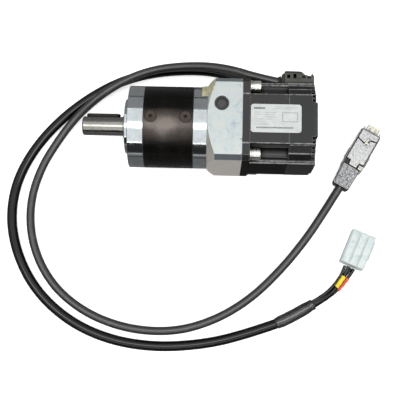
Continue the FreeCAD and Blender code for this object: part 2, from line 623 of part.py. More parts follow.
def motor_shaft():
    return lathe([(61.0, 0), (61.0, SHAFT_R - 0.6), (61.6, SHAFT_R), (81.5, SHAFT_R), (82.5, 7.5),
                  (91.5, 7.5),
                  (91.5, 8.8), (94.0, 8.8), (94.0, 8.0), (112.0, 8.0), (112.0, 8.4), (115.0, 8.4),
                  (115.0, 7.5), (124.0, 7.5), (124.0, 5.0), (125.5, 5.0), (125.5, 0)])


def stator_core():
    """Laminated stack with twelve slots."""
    body = ring(95.0, 109.0, 26.95, 15.9)
    slot = bar((94, 17.4, -1.9), (110, 23.2, 1.9)).fuse(bar((94, 15, -0.6), (110, 18, 0.6)))
    return body.cut(fused(around(slot, 12, 15)))


def stator_windings():
    """Copper end turns at both ends, joined through the slots."""
    front = ring(92.2, 94.9, 24.0, 17.0)
    rear = ring(109.1, 111.9, 24.0, 17.0)
    side = bar((94.5, 17.8, -1.7), (109.5, 22.9, 1.7))
    return fused([front, rear] + around(side, 12, 15))


def rotor_magnets():
    """Eight curved magnets round the rotor core."""
    tube = ring(95.6, 108.4, 15.2, 12.85)
    gap = bar((95, 0, -0.5), (109, 18, 0.5))
    return tube.cut(fused(around(gap, 8))).Solids


def encoder_board():
    body = ring(129.0, 130.6, 19.0, 2.0)
    chip = bar((128.2, -3.5, 4.0), (129.0, 3.5, 9.0))
    socket = bar((130.6, -6.0, -14.0), (131.4, 6.0, -8.0))
    return fused([body, chip, socket])


def motor_screws():
    screw = cap_screw(2.5, 14.0, 4.25, 5.0, 4.0)
    seat = MOTOR_FLANGE_END + 2.6
    return [placed(screw, polar(seat, MOTOR_BOLT_R, angle), (1, 0, 0)) for angle in CORNERS]


def flat_washers():
    washer = Part.makeCylinder(4.5, 1.0).cut(Part.makeCylinder(2.65, 1.0))
    return [placed(washer, polar(MOTOR_FLANGE_END, MOTOR_BOLT_R, angle), (1, 0, 0))
            for angle in CORNERS]


def spring_washers():
    washer = spring_washer(2.6, 4.1, 1.6)
    return [placed(washer, polar(MOTOR_FLANGE_END + 1.0, MOTOR_BOLT_R, angle), (1, 0, 0))
            for angle in CORNERS]


def rating_label():
    """Blank adhesive label with rounded corners, lying over the joint of shell and cover."""
    body = bar((87.8, -10.2, HALF), (123.5, 10.4, HALF + 0.15))
    return body.makeFillet(2.0, [edge for edge in body.Edges if edge.BoundBox.ZLength > 0.1])


# ---- connectors on the motor ---------------------------------------------------------------
def side_bar(face, side, start, end, low, high, inner, outer):
    """Block at a connector's outer side, from inner to outer about its face."""
    z_low, z_high = sorted((face + side * inner, face + side * outer))
    return bar((start, low, z_low), (end, high, z_high))


def connector(z):
    """Right-angle cable connector screwed to the side of the motor."""
    outline = [(CONNECTOR_START + 0.2, HALF + 0.05), (CONNECTOR_START, 35.8), (CONNECTOR_START + 0.6, 37.4),
               (112.0, 38.1), (112.9, 40.0), (123.9, 39.9), (125.6, 39.1), (127.2, 37.6), (130.3, 36.6),
               (131.4, 36.5), (132.2, 38.0), (133.0, 38.1), (COVER_END, 36.2), (COVER_END, HALF + 0.05)]
    points = [Vector(x, y, z - CONNECTOR_HALF) for x, y in outline]
    body = Part.Face(Part.makePolygon(points + points[:1])).extrude(Vector(0, 0, 2 * CONNECTOR_HALF))
    body = body.makeFillet(0.4, [edge for edge in body.Edges if edge.BoundBox.YMin > 34])
    side = 1 if z > 0 else -1
    outer = z + side * CONNECTOR_HALF
    # Windows in the outer side: start and end along the shaft, lower and upper edge, depth.
    for start, end, low, high, depth in ((114.3, 116.6, 34.4, 37.2, 2.6), (118.8, 121.1, 34.4, 37.9, 2.6),
                                         (125.3, 127.7, 34.6, 36.6, 0.5), (129.2, 131.5, 34.4, 35.8, 0.5)):
        body = body.cut(side_bar(outer, side, start, end, low, high, -depth, 1))
    pad = side_bar(outer, side, 121.6, 124.9, 34.8, 37.3, -0.5, 0.3)
    ledge = side_bar(outer, side, 119.5, 133.8, HALF + 0.05, 31.0, -0.5, 0.5)
    body = fused([body, pad, ledge])
    groove = bar((112.4, HALF - 1, z - 8), (112.7, 41, z + 8))
    body = body.cut(groove.cut(bar((112, HALF - 2, z - 6.9), (113, 37.6, z + 6.9))))
    for height in (z - 4.4, z + 4.4):
        body = body.cut(rod((CONNECTOR_SCREW_X, HALF, height), (0, 1, 0), 1.3, 12))
        body = body.cut(rod((CONNECTOR_SCREW_X, 35.6, height), (0, 1, 0), 2.3, 6))
    return body


def connector_screws():
    screw = cap_screw(1.25, 5.4, 2.1, 2.0, 1.5)
    return [placed(screw, (CONNECTOR_SCREW_X, 35.6, z + side), (0, 1, 0))
            for z in (-CONNECTOR_Z, CONNECTOR_Z) for side in (-4.4, 4.4)]


def strain_relief(z, cable_r):
    """Short rubber collar round the cable where it leaves the connector."""
    start = Vector(CONNECTOR_START - 0.02, CABLE_Y, z)
    length = CONNECTOR_START - 0.02 - BOOT_TIP
    collar = Part.makeCone(4.4, cable_r + 0.45, length, start, Vector(-1, 0, 0))
    collar = collar.cut(Part.makeTorus(4.4, 0.3, start + Vector(-0.9, 0, 0), Vector(1, 0, 0)))
    # The collar is flat below, where it lies along the side of the motor.
    return collar.cut(bar((BOOT_TIP - 1, 0, z - 8), (CONNECTOR_START + 1, HALF + 0.05, z + 8)))


# ---- plugs on the cables -------------------------------------------------------------------
def along(plug, forward, sideways, z):
    """A point on a plug: distance from its cable end, distance to its right, and height."""
    rear = Vector(plug["rear"][0], plug["rear"][1], 0)
    axis = (Vector(plug["front"][0], plug["front"][1], 0) - rear).normalize()
    right = Vector(axis.y, -axis.x, 0)
    point = rear + axis * forward + right * sideways
    return Vector(point.x, point.y, z)


def plug_prism(plug, outline, low, high):
    """Extrude upwards an outline of (forward, sideways) points on a plug."""
    points = [along(plug, forward, sideways, low) for forward, sideways in outline]
    return Part.Face(Part.makePolygon(points + points[:1])).extrude(Vector(0, 0, high - low))


def plug_bar(plug, start, end, half, low, high):
    """Straight block along a plug, centred across it."""
    return plug_prism(plug, [(start, -half), (end, -half), (end, half), (start, half)], low, high)


def plug_length(plug):
    return math.dist(plug["rear"], plug["front"])


def signal_plug_hood():
    """Two-part shielded hood, wider towards the mating end."""
    plug = SIGNAL_PLUG
    length = plug_length(plug)
    rear = plug["rear_width"] / 2
    front = plug["front_width"] / 2
    outline = [(0, -rear + 1.6), (1.6, -rear), (15.0, -rear), (18.0, -front), (length - 1.2, -front),
               (length, -front + 1.2), (length, front - 1.2), (length - 1.2, front), (18.0, front),
               (15.0, rear), (1.6, rear), (0, rear - 1.6)]
    body = plug_prism(plug, outline, plug["bottom"], plug["top"])
    body = body.makeFillet(0.8, [edge for edge in body.Edges if edge.BoundBox.ZLength < 0.01])
    seam_z = (plug["bottom"] + plug["top"]) / 2
    recess = plug_bar(plug, 20.0, 33.0, front - 4.0, plug["top"] - 0.5, plug["top"] + 1)
    groove = plug_bar(plug, -1, length + 1, 12, seam_z - 0.15, seam_z + 0.15)
    keep = plug_bar(plug, 0.5, length - 0.5, rear - 0.4, seam_z - 1, seam_z + 1)
    return body.cut(recess).cut(groove.cut(keep))


def signal_plug_shell():
    """Steel mating shell with its contact tongue."""
    plug = SIGNAL_PLUG
    length = plug_length(plug)
    outline = [(length, -4.8), (length + 5.4, -4.3), (length + 5.4, 4.3), (length, 4.8)]
    middle = (plug["bottom"] + plug["top"]) / 2
    body = plug_prism(plug, outline, middle - 2.6, middle + 2.6)
    mouth = plug_bar(plug, length + 2, length + 7, 3.6, middle - 1.9, middle + 1.9)
    tongue = plug_bar(plug, length + 1, length + 4.6, 2.8, middle - 0.7, middle + 0.7)
    return fused([body.cut(mouth), tongue])


def signal_plug_latches():
    """Spring latch on each side of the hood and the press pads that release them."""
    plug = SIGNAL_PLUG
    length = plug_length(plug)
    middle = (plug["bottom"] + plug["top"]) / 2
    side = plug["front_width"] / 2
    latches = []
    for sign in (-1, 1):
        outline = [(22.0, sign * side), (23.2, sign * (side + 0.9)), (30.0, sign * (side + 0.9)),
                   (31.2, sign * side)]
        latches.append(plug_prism(plug, outline, middle - 2.2, middle + 2.2))
        hook = [(length, sign * 6.0), (length + 3.2, sign * 6.0), (length + 4.0, sign * 6.5),
                (length + 3.2, sign * 7.0), (length, sign * 7.0)]
        latches.append(plug_prism(plug, hook, middle - 1.4, middle + 1.4))
    return latches


def power_plug_housing():
    """Nylon housing with two rows of contact cavities, ribs on its faces and a latch arm."""
    plug = POWER_PLUG
    length = plug_length(plug)
    half = plug["width"] / 2
    middle = (plug["bottom"] + plug["top"]) / 2
    body = plug_bar(plug, 0, length, half, plug["bottom"] + 0.7, plug["top"] - 0.7)
    ribs = []
    for sideways in (-6.0, 0.0, 6.0):
        outline = [(0, sideways - 2.2), (length - 1.5, sideways - 2.2), (length - 1.5, sideways + 2.2),
                   (0, sideways + 2.2)]
        ribs.append(plug_prism(plug, outline, plug["bottom"], plug["top"]))
    arm_outline = [(6.0, half - 0.5), (length - 3, half - 0.5), (length - 3, half + 1.2),
                   (8.5, half + 1.2)]
    arm = plug_prism(plug, arm_outline, middle - 2.5, middle + 2.5)
    body = fused([body, arm] + ribs)
    for sideways in (-6.0, 0.0, 6.0):
        for height in (-3.1, 3.1):
            body = body.cut(rod(along(plug, length - 14, sideways, middle + height),
                                along(plug, 1, 0, 0) - along(plug, 0, 0, 0), 1.75, 20))
    return body


def power_plug_contacts():
    """Round contacts inside the four wired cavities."""
    plug = POWER_PLUG
    length = plug_length(plug)
    middle = (plug["bottom"] + plug["top"]) / 2
    axis = along(plug, 1, 0, 0) - along(plug, 0, 0, 0)
    return [rod(along(plug, length - 14, sideways, middle + height), axis, 1.1, 11.0)
            for sideways, height in ((-6.0, 3.1), (0.0, 3.1), (6.0, 3.1), (0.0, -3.1))]


def marker_sleeve(name, marker):
    """Coloured tube pushed over one lead."""
    lead, route = marker
    return cable(name, route, MARKER_R).cut(cable(None, LEAD_ROUTES[lead - 1], LEAD_R))


# ---- build ---------------------------------------------------------------------------------
os.makedirs("parts", exist_ok=True)

write("front_housing", front_housing())
write("output_shaft_seal", shaft_seal())
write("bearing_circlip", bearing_circlip())
write("ring_gear_sleeve", ring_gear_sleeve())
write("sleeve_screws", sleeve_screws())
write("rear_flange", rear_flange())

for family, starts, sizes in (("output_bearing", OUTPUT_BEARINGS_X, OUTPUT_BEARING),
                              ("input_bearing", INPUT_BEARINGS_X, INPUT_BEARING)):
    bearings = [ball_bearing(start, **sizes) for start in starts]
    write(family + "_inner_rings", [parts[0] for parts in bearings])
    write(family + "_outer_rings", [parts[1] for parts in bearings])
    write(family + "_cages", [solid for parts in bearings for solid in parts[2]])

write("output_carrier_shaft", output_carrier_shaft())
write("output_key", output_key())
write("planet_pins", planet_pins())
write("carrier_rear_plate", carrier_rear_plate())
for number, angle in enumerate(PLANET_ANGLES, 1):
    write("planet_gear_%d" % number, planet_gear(angle))
write("sun_shaft_hub", sun_shaft_hub())
write("clamp_screw", clamp_screw())

write("motor_adapter", motor_adapter())
write("adapter_screws", adapter_screws())
write("access_plug", access_plug())

write("motor_flange", motor_flange())
write("stator_housing", stator_housing())
write("stator_core", stator_core())
write("stator_windings", stator_windings())
write("motor_shaft", motor_shaft())
write("rotor_core", ring(95.5, 108.5, 12.8, 8.02))
write("rotor_magnets", rotor_magnets())
write("rear_bearing_bracket", rear_bearing_bracket())
write("encoder_magnet", disc(125.6, 127.6, 4.0))
write("encoder_board", encoder_board())
write("rear_cover", rear_cover())
write("rear_cover_screws", rear_cover_screws())
write("motor_screws", motor_screws())
write("flat_washers", flat_washers())
write("spring_washers", spring_washers())
write("rating_label", rating_label())

write("signal_connector", connector(CONNECTOR_Z))
write("power_connector", connector(-CONNECTOR_Z))
write("connector_screws", connector_screws())
write("signal_strain_relief", strain_relief(CONNECTOR_Z, SIGNAL_R))
write("power_strain_relief", strain_relief(-CONNECTOR_Z, POWER_R))

write("signal_cable", cable("signal cable", SIGNAL_ROUTE, SIGNAL_R))
write("signal_plug_hood", signal_plug_hood())
write("signal_plug_shell", signal_plug_shell())
write("signal_plug_latches", signal_plug_latches())

write("power_cable", cable("power cable", POWER_ROUTE, POWER_R))
write("power_heat_shrink", cable("heat-shrink sleeve", SHRINK_ROUTE, SHRINK_R))
for number, route in enumerate(LEAD_ROUTES):
    write("power_lead_%d" % (number + 1), cable("lead %d" % (number + 1), route, LEAD_R))
write("marker_sleeve_yellow", marker_sleeve("yellow marker", YELLOW_MARKER))
write("marker_sleeve_red", marker_sleeve("red marker", RED_MARKER))
write("power_plug_housing", power_plug_housing())
write("power_plug_contacts", power_plug_contacts())
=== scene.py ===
import math

import bmesh
import bpy
from mathutils import Euler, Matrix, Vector, noise


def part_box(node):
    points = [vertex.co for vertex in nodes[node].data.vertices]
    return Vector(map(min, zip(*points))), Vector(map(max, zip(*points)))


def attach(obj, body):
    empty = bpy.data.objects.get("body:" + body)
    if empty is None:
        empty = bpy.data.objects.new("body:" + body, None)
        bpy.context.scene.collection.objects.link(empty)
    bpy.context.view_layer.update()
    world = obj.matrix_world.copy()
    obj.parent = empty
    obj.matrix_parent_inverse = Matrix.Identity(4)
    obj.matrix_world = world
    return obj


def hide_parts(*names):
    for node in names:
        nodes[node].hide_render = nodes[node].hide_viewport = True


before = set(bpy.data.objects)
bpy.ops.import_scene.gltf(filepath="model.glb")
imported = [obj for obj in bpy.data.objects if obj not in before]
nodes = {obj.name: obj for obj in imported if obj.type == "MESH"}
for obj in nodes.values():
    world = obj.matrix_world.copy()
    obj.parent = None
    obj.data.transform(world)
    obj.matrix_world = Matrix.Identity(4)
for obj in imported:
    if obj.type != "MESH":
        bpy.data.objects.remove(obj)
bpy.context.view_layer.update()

MM = 0.001
FLOOR_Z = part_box("motor_adapter")[0].z
MIDDLE_X = 0.05


# ---- camera ----------------------------------------------------------------------------------
def make_camera():
    """High three-quarter view from above, a little from the front."""
    data = bpy.data.cameras.new("camera")
    data.sensor_width = 36.0
    data.lens = 77.4
    data.clip_start = 0.01
    camera = bpy.data.objects.new("camera", data)
    camera.location = (0.06307, -0.16670, 0.61614)
    camera.rotation_euler = Euler([math.radians(a) for a in (10.377, 0.682, 1.424)], "XYZ")
    bpy.context.collection.objects.link(camera)
    bpy.context.scene.camera = camera


# ---- material building -----------------------------------------------------------------------
def fill_ramp(node, stops):
    """Stops are (position, colour)."""
    elements = node.color_ramp.elements
    while len(elements) > 1:
        elements.remove(elements[-1])
    for index, (position, color) in enumerate(stops):
        element = elements[0] if index == 0 else elements.new(position)
        element.position = position
        element.color = (*color, 1.0)


def scaled(color, factor):
    return tuple(min(1.0, channel * factor) for channel in color)


class Finish:
    """A node material whose patterns are laid out in object coordinates, in millimetres."""

    def __init__(self, name, color, roughness, metallic=0.0):
        self.material = bpy.data.materials.new(name)
        self.material.use_nodes = True
        self.tree = self.material.node_tree
        self.shader = self.tree.nodes["Principled BSDF"]
        self.shader.inputs["Base Color"].default_value = (*color, 1.0)
        self.shader.inputs["Roughness"].default_value = roughness
        self.shader.inputs["Metallic"].default_value = metallic
        self.height = None
        self.edge_radius = 0.0

    def node(self, kind, **values):
        made = self.tree.nodes.new(kind)
        for name, value in values.items():
            setattr(made, name, value)
        return made

    def link(self, source, target):
        self.tree.links.new(source, target)

    def coordinates(self, stretch=(1.0, 1.0, 1.0)):
        """Object coordinates in millimetres, each axis multiplied by stretch."""
        source = self.node("ShaderNodeTexCoord")
        mapping = self.node("ShaderNodeMapping")
        mapping.inputs["Scale"].default_value = [1000.0 * s for s in stretch]
        self.link(source.outputs["Object"], mapping.inputs["Vector"])
        return mapping.outputs["Vector"]

    def place(self):
        """The object coordinates in millimetres, as separate X, Y and Z."""
        made = self.node("ShaderNodeSeparateXYZ")
        self.link(self.coordinates(), made.inputs["Vector"])
        return made.outputs

    def facing(self):
        """The direction the surface faces, in the object's own axes, as separate X, Y and Z."""
        source = self.node("ShaderNodeTexCoord")
        made = self.node("ShaderNodeSeparateXYZ")
        self.link(source.outputs["Normal"], made.inputs["Vector"])
        return made.outputs

    def noise(self, per_mm, detail=3.0, rough=0.55, stretch=(1.0, 1.0, 1.0), distortion=0.0):
        made = self.node("ShaderNodeTexNoise")
        made.inputs["Scale"].default_value = per_mm
        made.inputs["Detail"].default_value = detail
        made.inputs["Roughness"].default_value = rough
        made.inputs["Distortion"].default_value = distortion
        self.link(self.coordinates(stretch), made.inputs["Vector"])
        return made.outputs["Fac"]

    def cells(self, per_mm, stretch=(1.0, 1.0, 1.0), feature="F1"):
        made = self.node("ShaderNodeTexVoronoi", feature=feature)
        made.inputs["Scale"].default_value = per_mm
        self.link(self.coordinates(stretch), made.inputs["Vector"])
        return made.outputs["Distance"]

    def ramp(self, value, *stops):
        """Stops are (position, grey level or colour)."""
        made = self.node("ShaderNodeValToRGB")
        fill_ramp(made, [(position, level if isinstance(level, tuple) else (level, level, level))
                         for position, level in stops])
        self.link(value, made.inputs["Fac"])
        return made.outputs["Color"]

    def math(self, operation, first, second):
        made = self.node("ShaderNodeMath", operation=operation)
        for slot, value in enumerate((first, second)):
            if isinstance(value, (int, float)):
                made.inputs[slot].default_value = value
            else:
                self.link(value, made.inputs[slot])
        return made.outputs["Value"]

    def product(self, first, second):
        return self.math("MULTIPLY", first, second)

    def absolute(self, value):
        return self.math("ABSOLUTE", value, 0.0)

    def between(self, value, low, high):
        """1 where a value lies between two limits."""
        return self.product(self.math("GREATER_THAN", value, low), self.math("LESS_THAN", value, high))

    def fading(self, value, middle, reach):
        """1 at the middle, 0 at this reach to either side and negative beyond."""
        away = self.math("DIVIDE", self.math("SUBTRACT", value, middle), reach)
        return self.math("SUBTRACT", 1.0, self.absolute(away))

    def mix(self, factor, first, second):
        made = self.node("ShaderNodeMix", data_type="RGBA")
        if isinstance(factor, (int, float)):
            made.inputs["Factor"].default_value = factor
        else:
            self.link(factor, made.inputs["Factor"])
        for name, value in (("A", first), ("B", second)):
            socket = [s for s in made.inputs if s.name == name and s.type == "RGBA"][0]
            if isinstance(value, tuple):
                socket.default_value = (*value, 1.0)
            else:
                self.link(value, socket)
        return [s for s in made.outputs if s.type == "RGBA"][0]

    def edge_wear_and_highlight(self, radius_mm, low=0.02, high=0.25):
        """White along sharp edges, broken up by noise: partly edge wear, partly a painted highlight."""
        bevel = self.node("ShaderNodeBevel", samples=4)
        bevel.inputs["Radius"].default_value = radius_mm * MM
        geometry = self.node("ShaderNodeNewGeometry")
        dot = self.node("ShaderNodeVectorMath", operation="DOT_PRODUCT")
        self.link(bevel.outputs["Normal"], dot.inputs[0])
        self.link(geometry.outputs["Normal"], dot.inputs[1])
        sharp = self.math("SUBTRACT", 1.0, dot.outputs["Value"])
        broken = self.product(sharp, self.product(self.noise(0.9, 4.0), 2.0))
        return self.ramp(broken, (low, 0.0), (high, 1.0))

    def crevice_shade(self, reach_mm, power=1.5):
        """Falls from 1 in the open to 0 deep in a corner or slot; used to paint shade there."""
        occlusion = self.node("ShaderNodeAmbientOcclusion", samples=6)
        occlusion.inputs["Distance"].default_value = reach_mm * MM
        return self.math("POWER", occlusion.outputs["AO"], power)

    def set_color(self, value):
        self.link(value, self.shader.inputs["Base Color"])

    def set_roughness(self, value):
        self.link(value, self.shader.inputs["Roughness"])

    def bump(self, height, strength, distance_mm):
        made = self.node("ShaderNodeBump")
        made.inputs["Strength"].default_value = strength
        made.inputs["Distance"].default_value = distance_mm * MM
        self.link(height, made.inputs["Height"])
        if self.height is None and self.edge_radius:
            rounded = self.node("ShaderNodeBevel", samples=4)
            rounded.inputs["Radius"].default_value = self.edge_radius * MM
            self.height = rounded.outputs["Normal"]
        if self.height is not None:
            self.link(self.height, made.inputs["Normal"])
        self.height = made.outputs["Normal"]
        self.link(self.height, self.shader.inputs["Normal"])


def turned_steel(name, color, roughness, line_depth):
    """Bright turned metal: fine lines round the axis, smudges and faint stains."""
    finish = Finish(name, color, roughness, 1.0)
    finish.edge_radius = 0.3
    smudges = finish.noise(0.09, 5.0, 0.6)
    stains = finish.ramp(smudges, (0.35, color), (0.5, scaled(color, 0.93)), (0.72, scaled(color, 0.78)))
    finish.set_color(stains)
    lines = finish.noise(1.0, 2.0, 0.7, stretch=(7.0, 0.02, 0.02))
    mixed = finish.math("ADD", finish.product(smudges, 0.7), finish.product(lines, 0.3))
    finish.set_roughness(finish.ramp(mixed, (0.3, roughness * 0.7), (0.75, roughness * 1.9)))
    finish.bump(lines, line_depth, 0.006)
    finish.bump(finish.noise(0.16, 3.0, 0.6, stretch=(0.7, 1.0, 1.0)), 0.30, 0.12)
    return finish.material


SLEEVE_HIGHLIGHT_X = (27.0, 34.0)  # middle and reach of the painted highlight band on the sleeve, in millimetres
SLEEVE_HIGHLIGHT_Y = (-5.5, 13.0)


def black_oxide(name):
    """Satin black oxide over turned steel, with a brownish painted highlight in a band along the top."""
    finish = Finish(name, (0.006, 0.006, 0.006), 0.34, 0.0)
    finish.shader.inputs["Specular IOR Level"].default_value = 0.15
    finish.shader.inputs["Specular Tint"].default_value = (1.0, 0.94, 0.88, 1.0)
    finish.edge_radius = 0.25
    patches = finish.noise(0.07, 6.0, 0.6)
    fine = finish.noise(1.6, 4.0, 0.6)
    base = finish.ramp(patches, (0.3, (0.0015, 0.0015, 0.0015)), (0.55, (0.003, 0.0028, 0.0025)),
                       (0.8, (0.010, 0.008, 0.0065)))
    # A brownish painted highlight is laid in a band along the top, strongest near the middle of its length.
    place = finish.place()
    across = finish.fading(place["Y"], *SLEEVE_HIGHLIGHT_Y)
    along = finish.fading(place["X"], *SLEEVE_HIGHLIGHT_X)
    topside = finish.math("GREATER_THAN", place["Z"], 0.0)
    cloudy = finish.product(finish.math("ADD", finish.product(patches, 1.3), 0.2), along)
    wear_and_highlight = finish.product(finish.product(across, topside), cloudy)
    highlight_share = finish.ramp(wear_and_highlight, (0.05, 0.0), (0.35, 0.35), (0.66, 1.0))
    highlighted = finish.mix(highlight_share, base, (0.20, 0.170, 0.150))
    worn_and_highlighted = finish.mix(finish.edge_wear_and_highlight(0.4), highlighted, (0.10, 0.095, 0.09))
    scratches = finish.ramp(finish.cells(0.28, stretch=(0.15, 1.0, 1.0), feature="DISTANCE_TO_EDGE"),
                            (0.0, 1.0), (0.006, 0.0))
    rare = finish.product(scratches, finish.ramp(finish.noise(0.05), (0.58, 0.0), (0.66, 0.5)))
    finish.set_color(finish.mix(rare, worn_and_highlighted, (0.07, 0.065, 0.06)))
    finish.set_roughness(finish.ramp(fine, (0.3, 0.22), (0.7, 0.34)))
    finish.bump(finish.noise(1.0, 2.0, 0.7, stretch=(5.0, 0.03, 0.03)), 0.3, 0.008)
    finish.bump(fine, 0.12, 0.01)
    return finish.material


def zinc_block(name):
    """Pale, blotchy zinc-plated block with rubbed edges, and painted light making its side faces lighter and
    warmer.
    """
    finish = Finish(name, (0.60, 0.63, 0.62), 0.34, 0.6)
    finish.edge_radius = 0.5
    blotches = finish.noise(0.13, 6.0, 0.68, distortion=0.6)
    fine = finish.noise(0.9, 5.0, 0.7)
    base = finish.ramp(blotches, (0.30, (0.34, 0.40, 0.43)), (0.44, (0.48, 0.53, 0.53)),
                       (0.60, (0.53, 0.56, 0.53)), (0.80, (0.46, 0.45, 0.36)))
    speckled = finish.mix(finish.ramp(fine, (0.55, 0.0), (0.78, 0.35)), base, (0.42, 0.45, 0.45))
    # Corners turned on a lathe are smoother and darker than the milled flats.
    facing = finish.facing()
    slant = finish.absolute(finish.product(facing["Y"], facing["Z"]))
    turned = finish.ramp(slant, (0.40, 0.0), (0.46, 1.0))
    # Side faces are painted lighter and warmer than the top: painted light.
    upward = finish.absolute(facing["Z"])
    sides = finish.mix(finish.ramp(upward, (0.3, 0.75), (0.8, 0.0)), speckled, (0.74, 0.68, 0.60))
    dulled = finish.mix(finish.product(turned, 0.8), sides, (0.13, 0.16, 0.19))
    finish.set_color(finish.mix(finish.edge_wear_and_highlight(0.45, 0.03, 0.3), dulled, (0.82, 0.83, 0.80)))
    milled = finish.ramp(blotches, (0.3, 0.30), (0.7, 0.46))
    finish.set_roughness(finish.mix(turned, milled, (0.16, 0.16, 0.16)))
    finish.bump(fine, 0.25, 0.02)
    finish.bump(finish.noise(1.0, 2.0, 0.6, stretch=(0.05, 4.0, 4.0)), 0.12, 0.008)
    return finish.material


HIGHLIGHT_EDGES = (  # where painted highlight lines run: range of one coordinate and of the other, in millimetres
    (17.5, 18.45, 29.2, 30.3), (23.25, 24.2, 23.25, 24.2), (27.5, 28.5, 17.9, 18.9),
)


def edge_highlight_lines(finish):
    """1 along the long edges of a motor's flats and facets, broken up by noise: painted highlight lines."""
    place = finish.place()
    sideways = finish.absolute(place["Y"])
    upright = finish.absolute(place["Z"])
    total = None
    for first, second in ((sideways, upright), (upright, sideways)):
        for low, high, other_low, other_high in HIGHLIGHT_EDGES:
            line = finish.product(finish.between(first, low, high),
                                  finish.between(second, other_low, other_high))
            total = line if total is None else finish.math("MAXIMUM", total, line)
    broken = finish.ramp(finish.noise(0.35, 4.0, 0.7), (0.38, 0.15), (0.55, 1.0))
    return finish.product(total, broken)


def coated_shell(name, color, roughness, grain, wear_and_highlight_level, side_lit_level):
    """Blasted and dark-coated aluminium: fine grain, dust, worn edges with painted highlights, painted shade
    in corners and slots, and sides darkened and dulled as painted shade.
    """
    finish = Finish(name, color, roughness, 0.0)
    finish.edge_radius = 0.7
    patches = finish.noise(0.06, 5.0, 0.6)
    grainy = finish.noise(2.6, 3.0, 0.7)
    coarse = finish.noise(1.1, 4.0, 0.75)
    base = finish.ramp(patches, (0.3, scaled(color, 0.75)), (0.7, scaled(color, 1.4)))
    dusty = finish.mix(finish.ramp(coarse, (0.56, 0.0), (0.72, 0.6)), base, scaled(color, 3.2))
    speck = finish.mix(finish.ramp(grainy, (0.60, 0.0), (0.78, 0.5)), dusty, scaled(color, 2.2))
    # Painted shade in corners and slots: darker colour there, and less gloss.
    open_air = finish.crevice_shade(3.5, 2.0)
    # Edges lightened: edge wear together with a painted highlight.
    wear_and_highlight = finish.product(finish.edge_wear_and_highlight(0.6, 0.004, 0.05), wear_and_highlight_level)
    worn_and_highlighted = finish.mix(wear_and_highlight, speck, (0.24, 0.24, 0.23))
    cracks = finish.cells(0.11, stretch=(1.0, 0.6, 0.6), feature="DISTANCE_TO_EDGE")
    lines = finish.ramp(cracks, (0.0, 1.0), (0.005, 0.0))
    seldom = finish.ramp(finish.noise(0.045, 3.0), (0.56, 0.0), (0.62, 0.75))
    scratched = finish.mix(finish.product(lines, seldom), worn_and_highlighted, (0.17, 0.17, 0.165))
    # Painted highlight lines along the long edges of the flats and facets.
    edged = finish.mix(finish.product(edge_highlight_lines(finish), 0.85), scratched, (0.34, 0.34, 0.33))
    # Sides are painted darker and less glossy than the tops: painted shade.
    upward = finish.absolute(finish.facing()["Z"])
    lit_from_above = finish.ramp(upward, (0.15, side_lit_level), (0.85, 1.0))
    sides_shaded = finish.mix(lit_from_above, (0.0025, 0.0025, 0.0025), edged)
    # Painted shade in corners and slots darkens the colour.
    finish.set_color(finish.mix(open_air, (0.001, 0.001, 0.001), sides_shaded))
    gloss = finish.product(finish.product(open_air, 0.5), lit_from_above)
    finish.link(gloss, finish.shader.inputs["Specular IOR Level"])
    finish.set_roughness(finish.ramp(coarse, (0.3, roughness * 0.85), (0.7, roughness * 1.25)))
    finish.bump(grainy, grain, 0.03)
    finish.bump(coarse, 0.3, 0.05)
    return finish.material


def moulded_plastic(name, color, roughness):
    """Moulded plastic or rubber with a fine grain, paler edges and painted shade in corners and slots."""
    finish = Finish(name, color, roughness, 0.0)
    finish.edge_radius = 0.2
    fine = finish.noise(3.0, 3.0, 0.6)
    broad = finish.noise(0.15, 4.0, 0.6)
    base = finish.ramp(broad, (0.3, scaled(color, 0.85)), (0.7, scaled(color, 1.18)))
    # Painted shade in corners and slots: darker colour and less gloss.
    open_air = finish.crevice_shade(2.5, 2.0)
    worn_and_highlighted = finish.mix(finish.product(finish.edge_wear_and_highlight(0.3), 0.45), base, scaled(color, 2.5))
    finish.set_color(finish.mix(open_air, scaled(color, 0.08), worn_and_highlighted))
    finish.link(finish.product(open_air, 0.5), finish.shader.inputs["Specular IOR Level"])
    finish.set_roughness(finish.ramp(fine, (0.3, roughness * 0.85), (0.7, min(1.0, roughness * 1.2))))
    finish.bump(fine, 0.3, 0.02)
    return finish.material


CONNECTOR_BACK_Y = 38.3
CONNECTOR_COLLAR_X = 112.6
WINDOW_FLOOR_Z = 16.05
WINDOWS_X = (113.5, 131.6)
WINDOWS_Y = (34.3, 37.95)


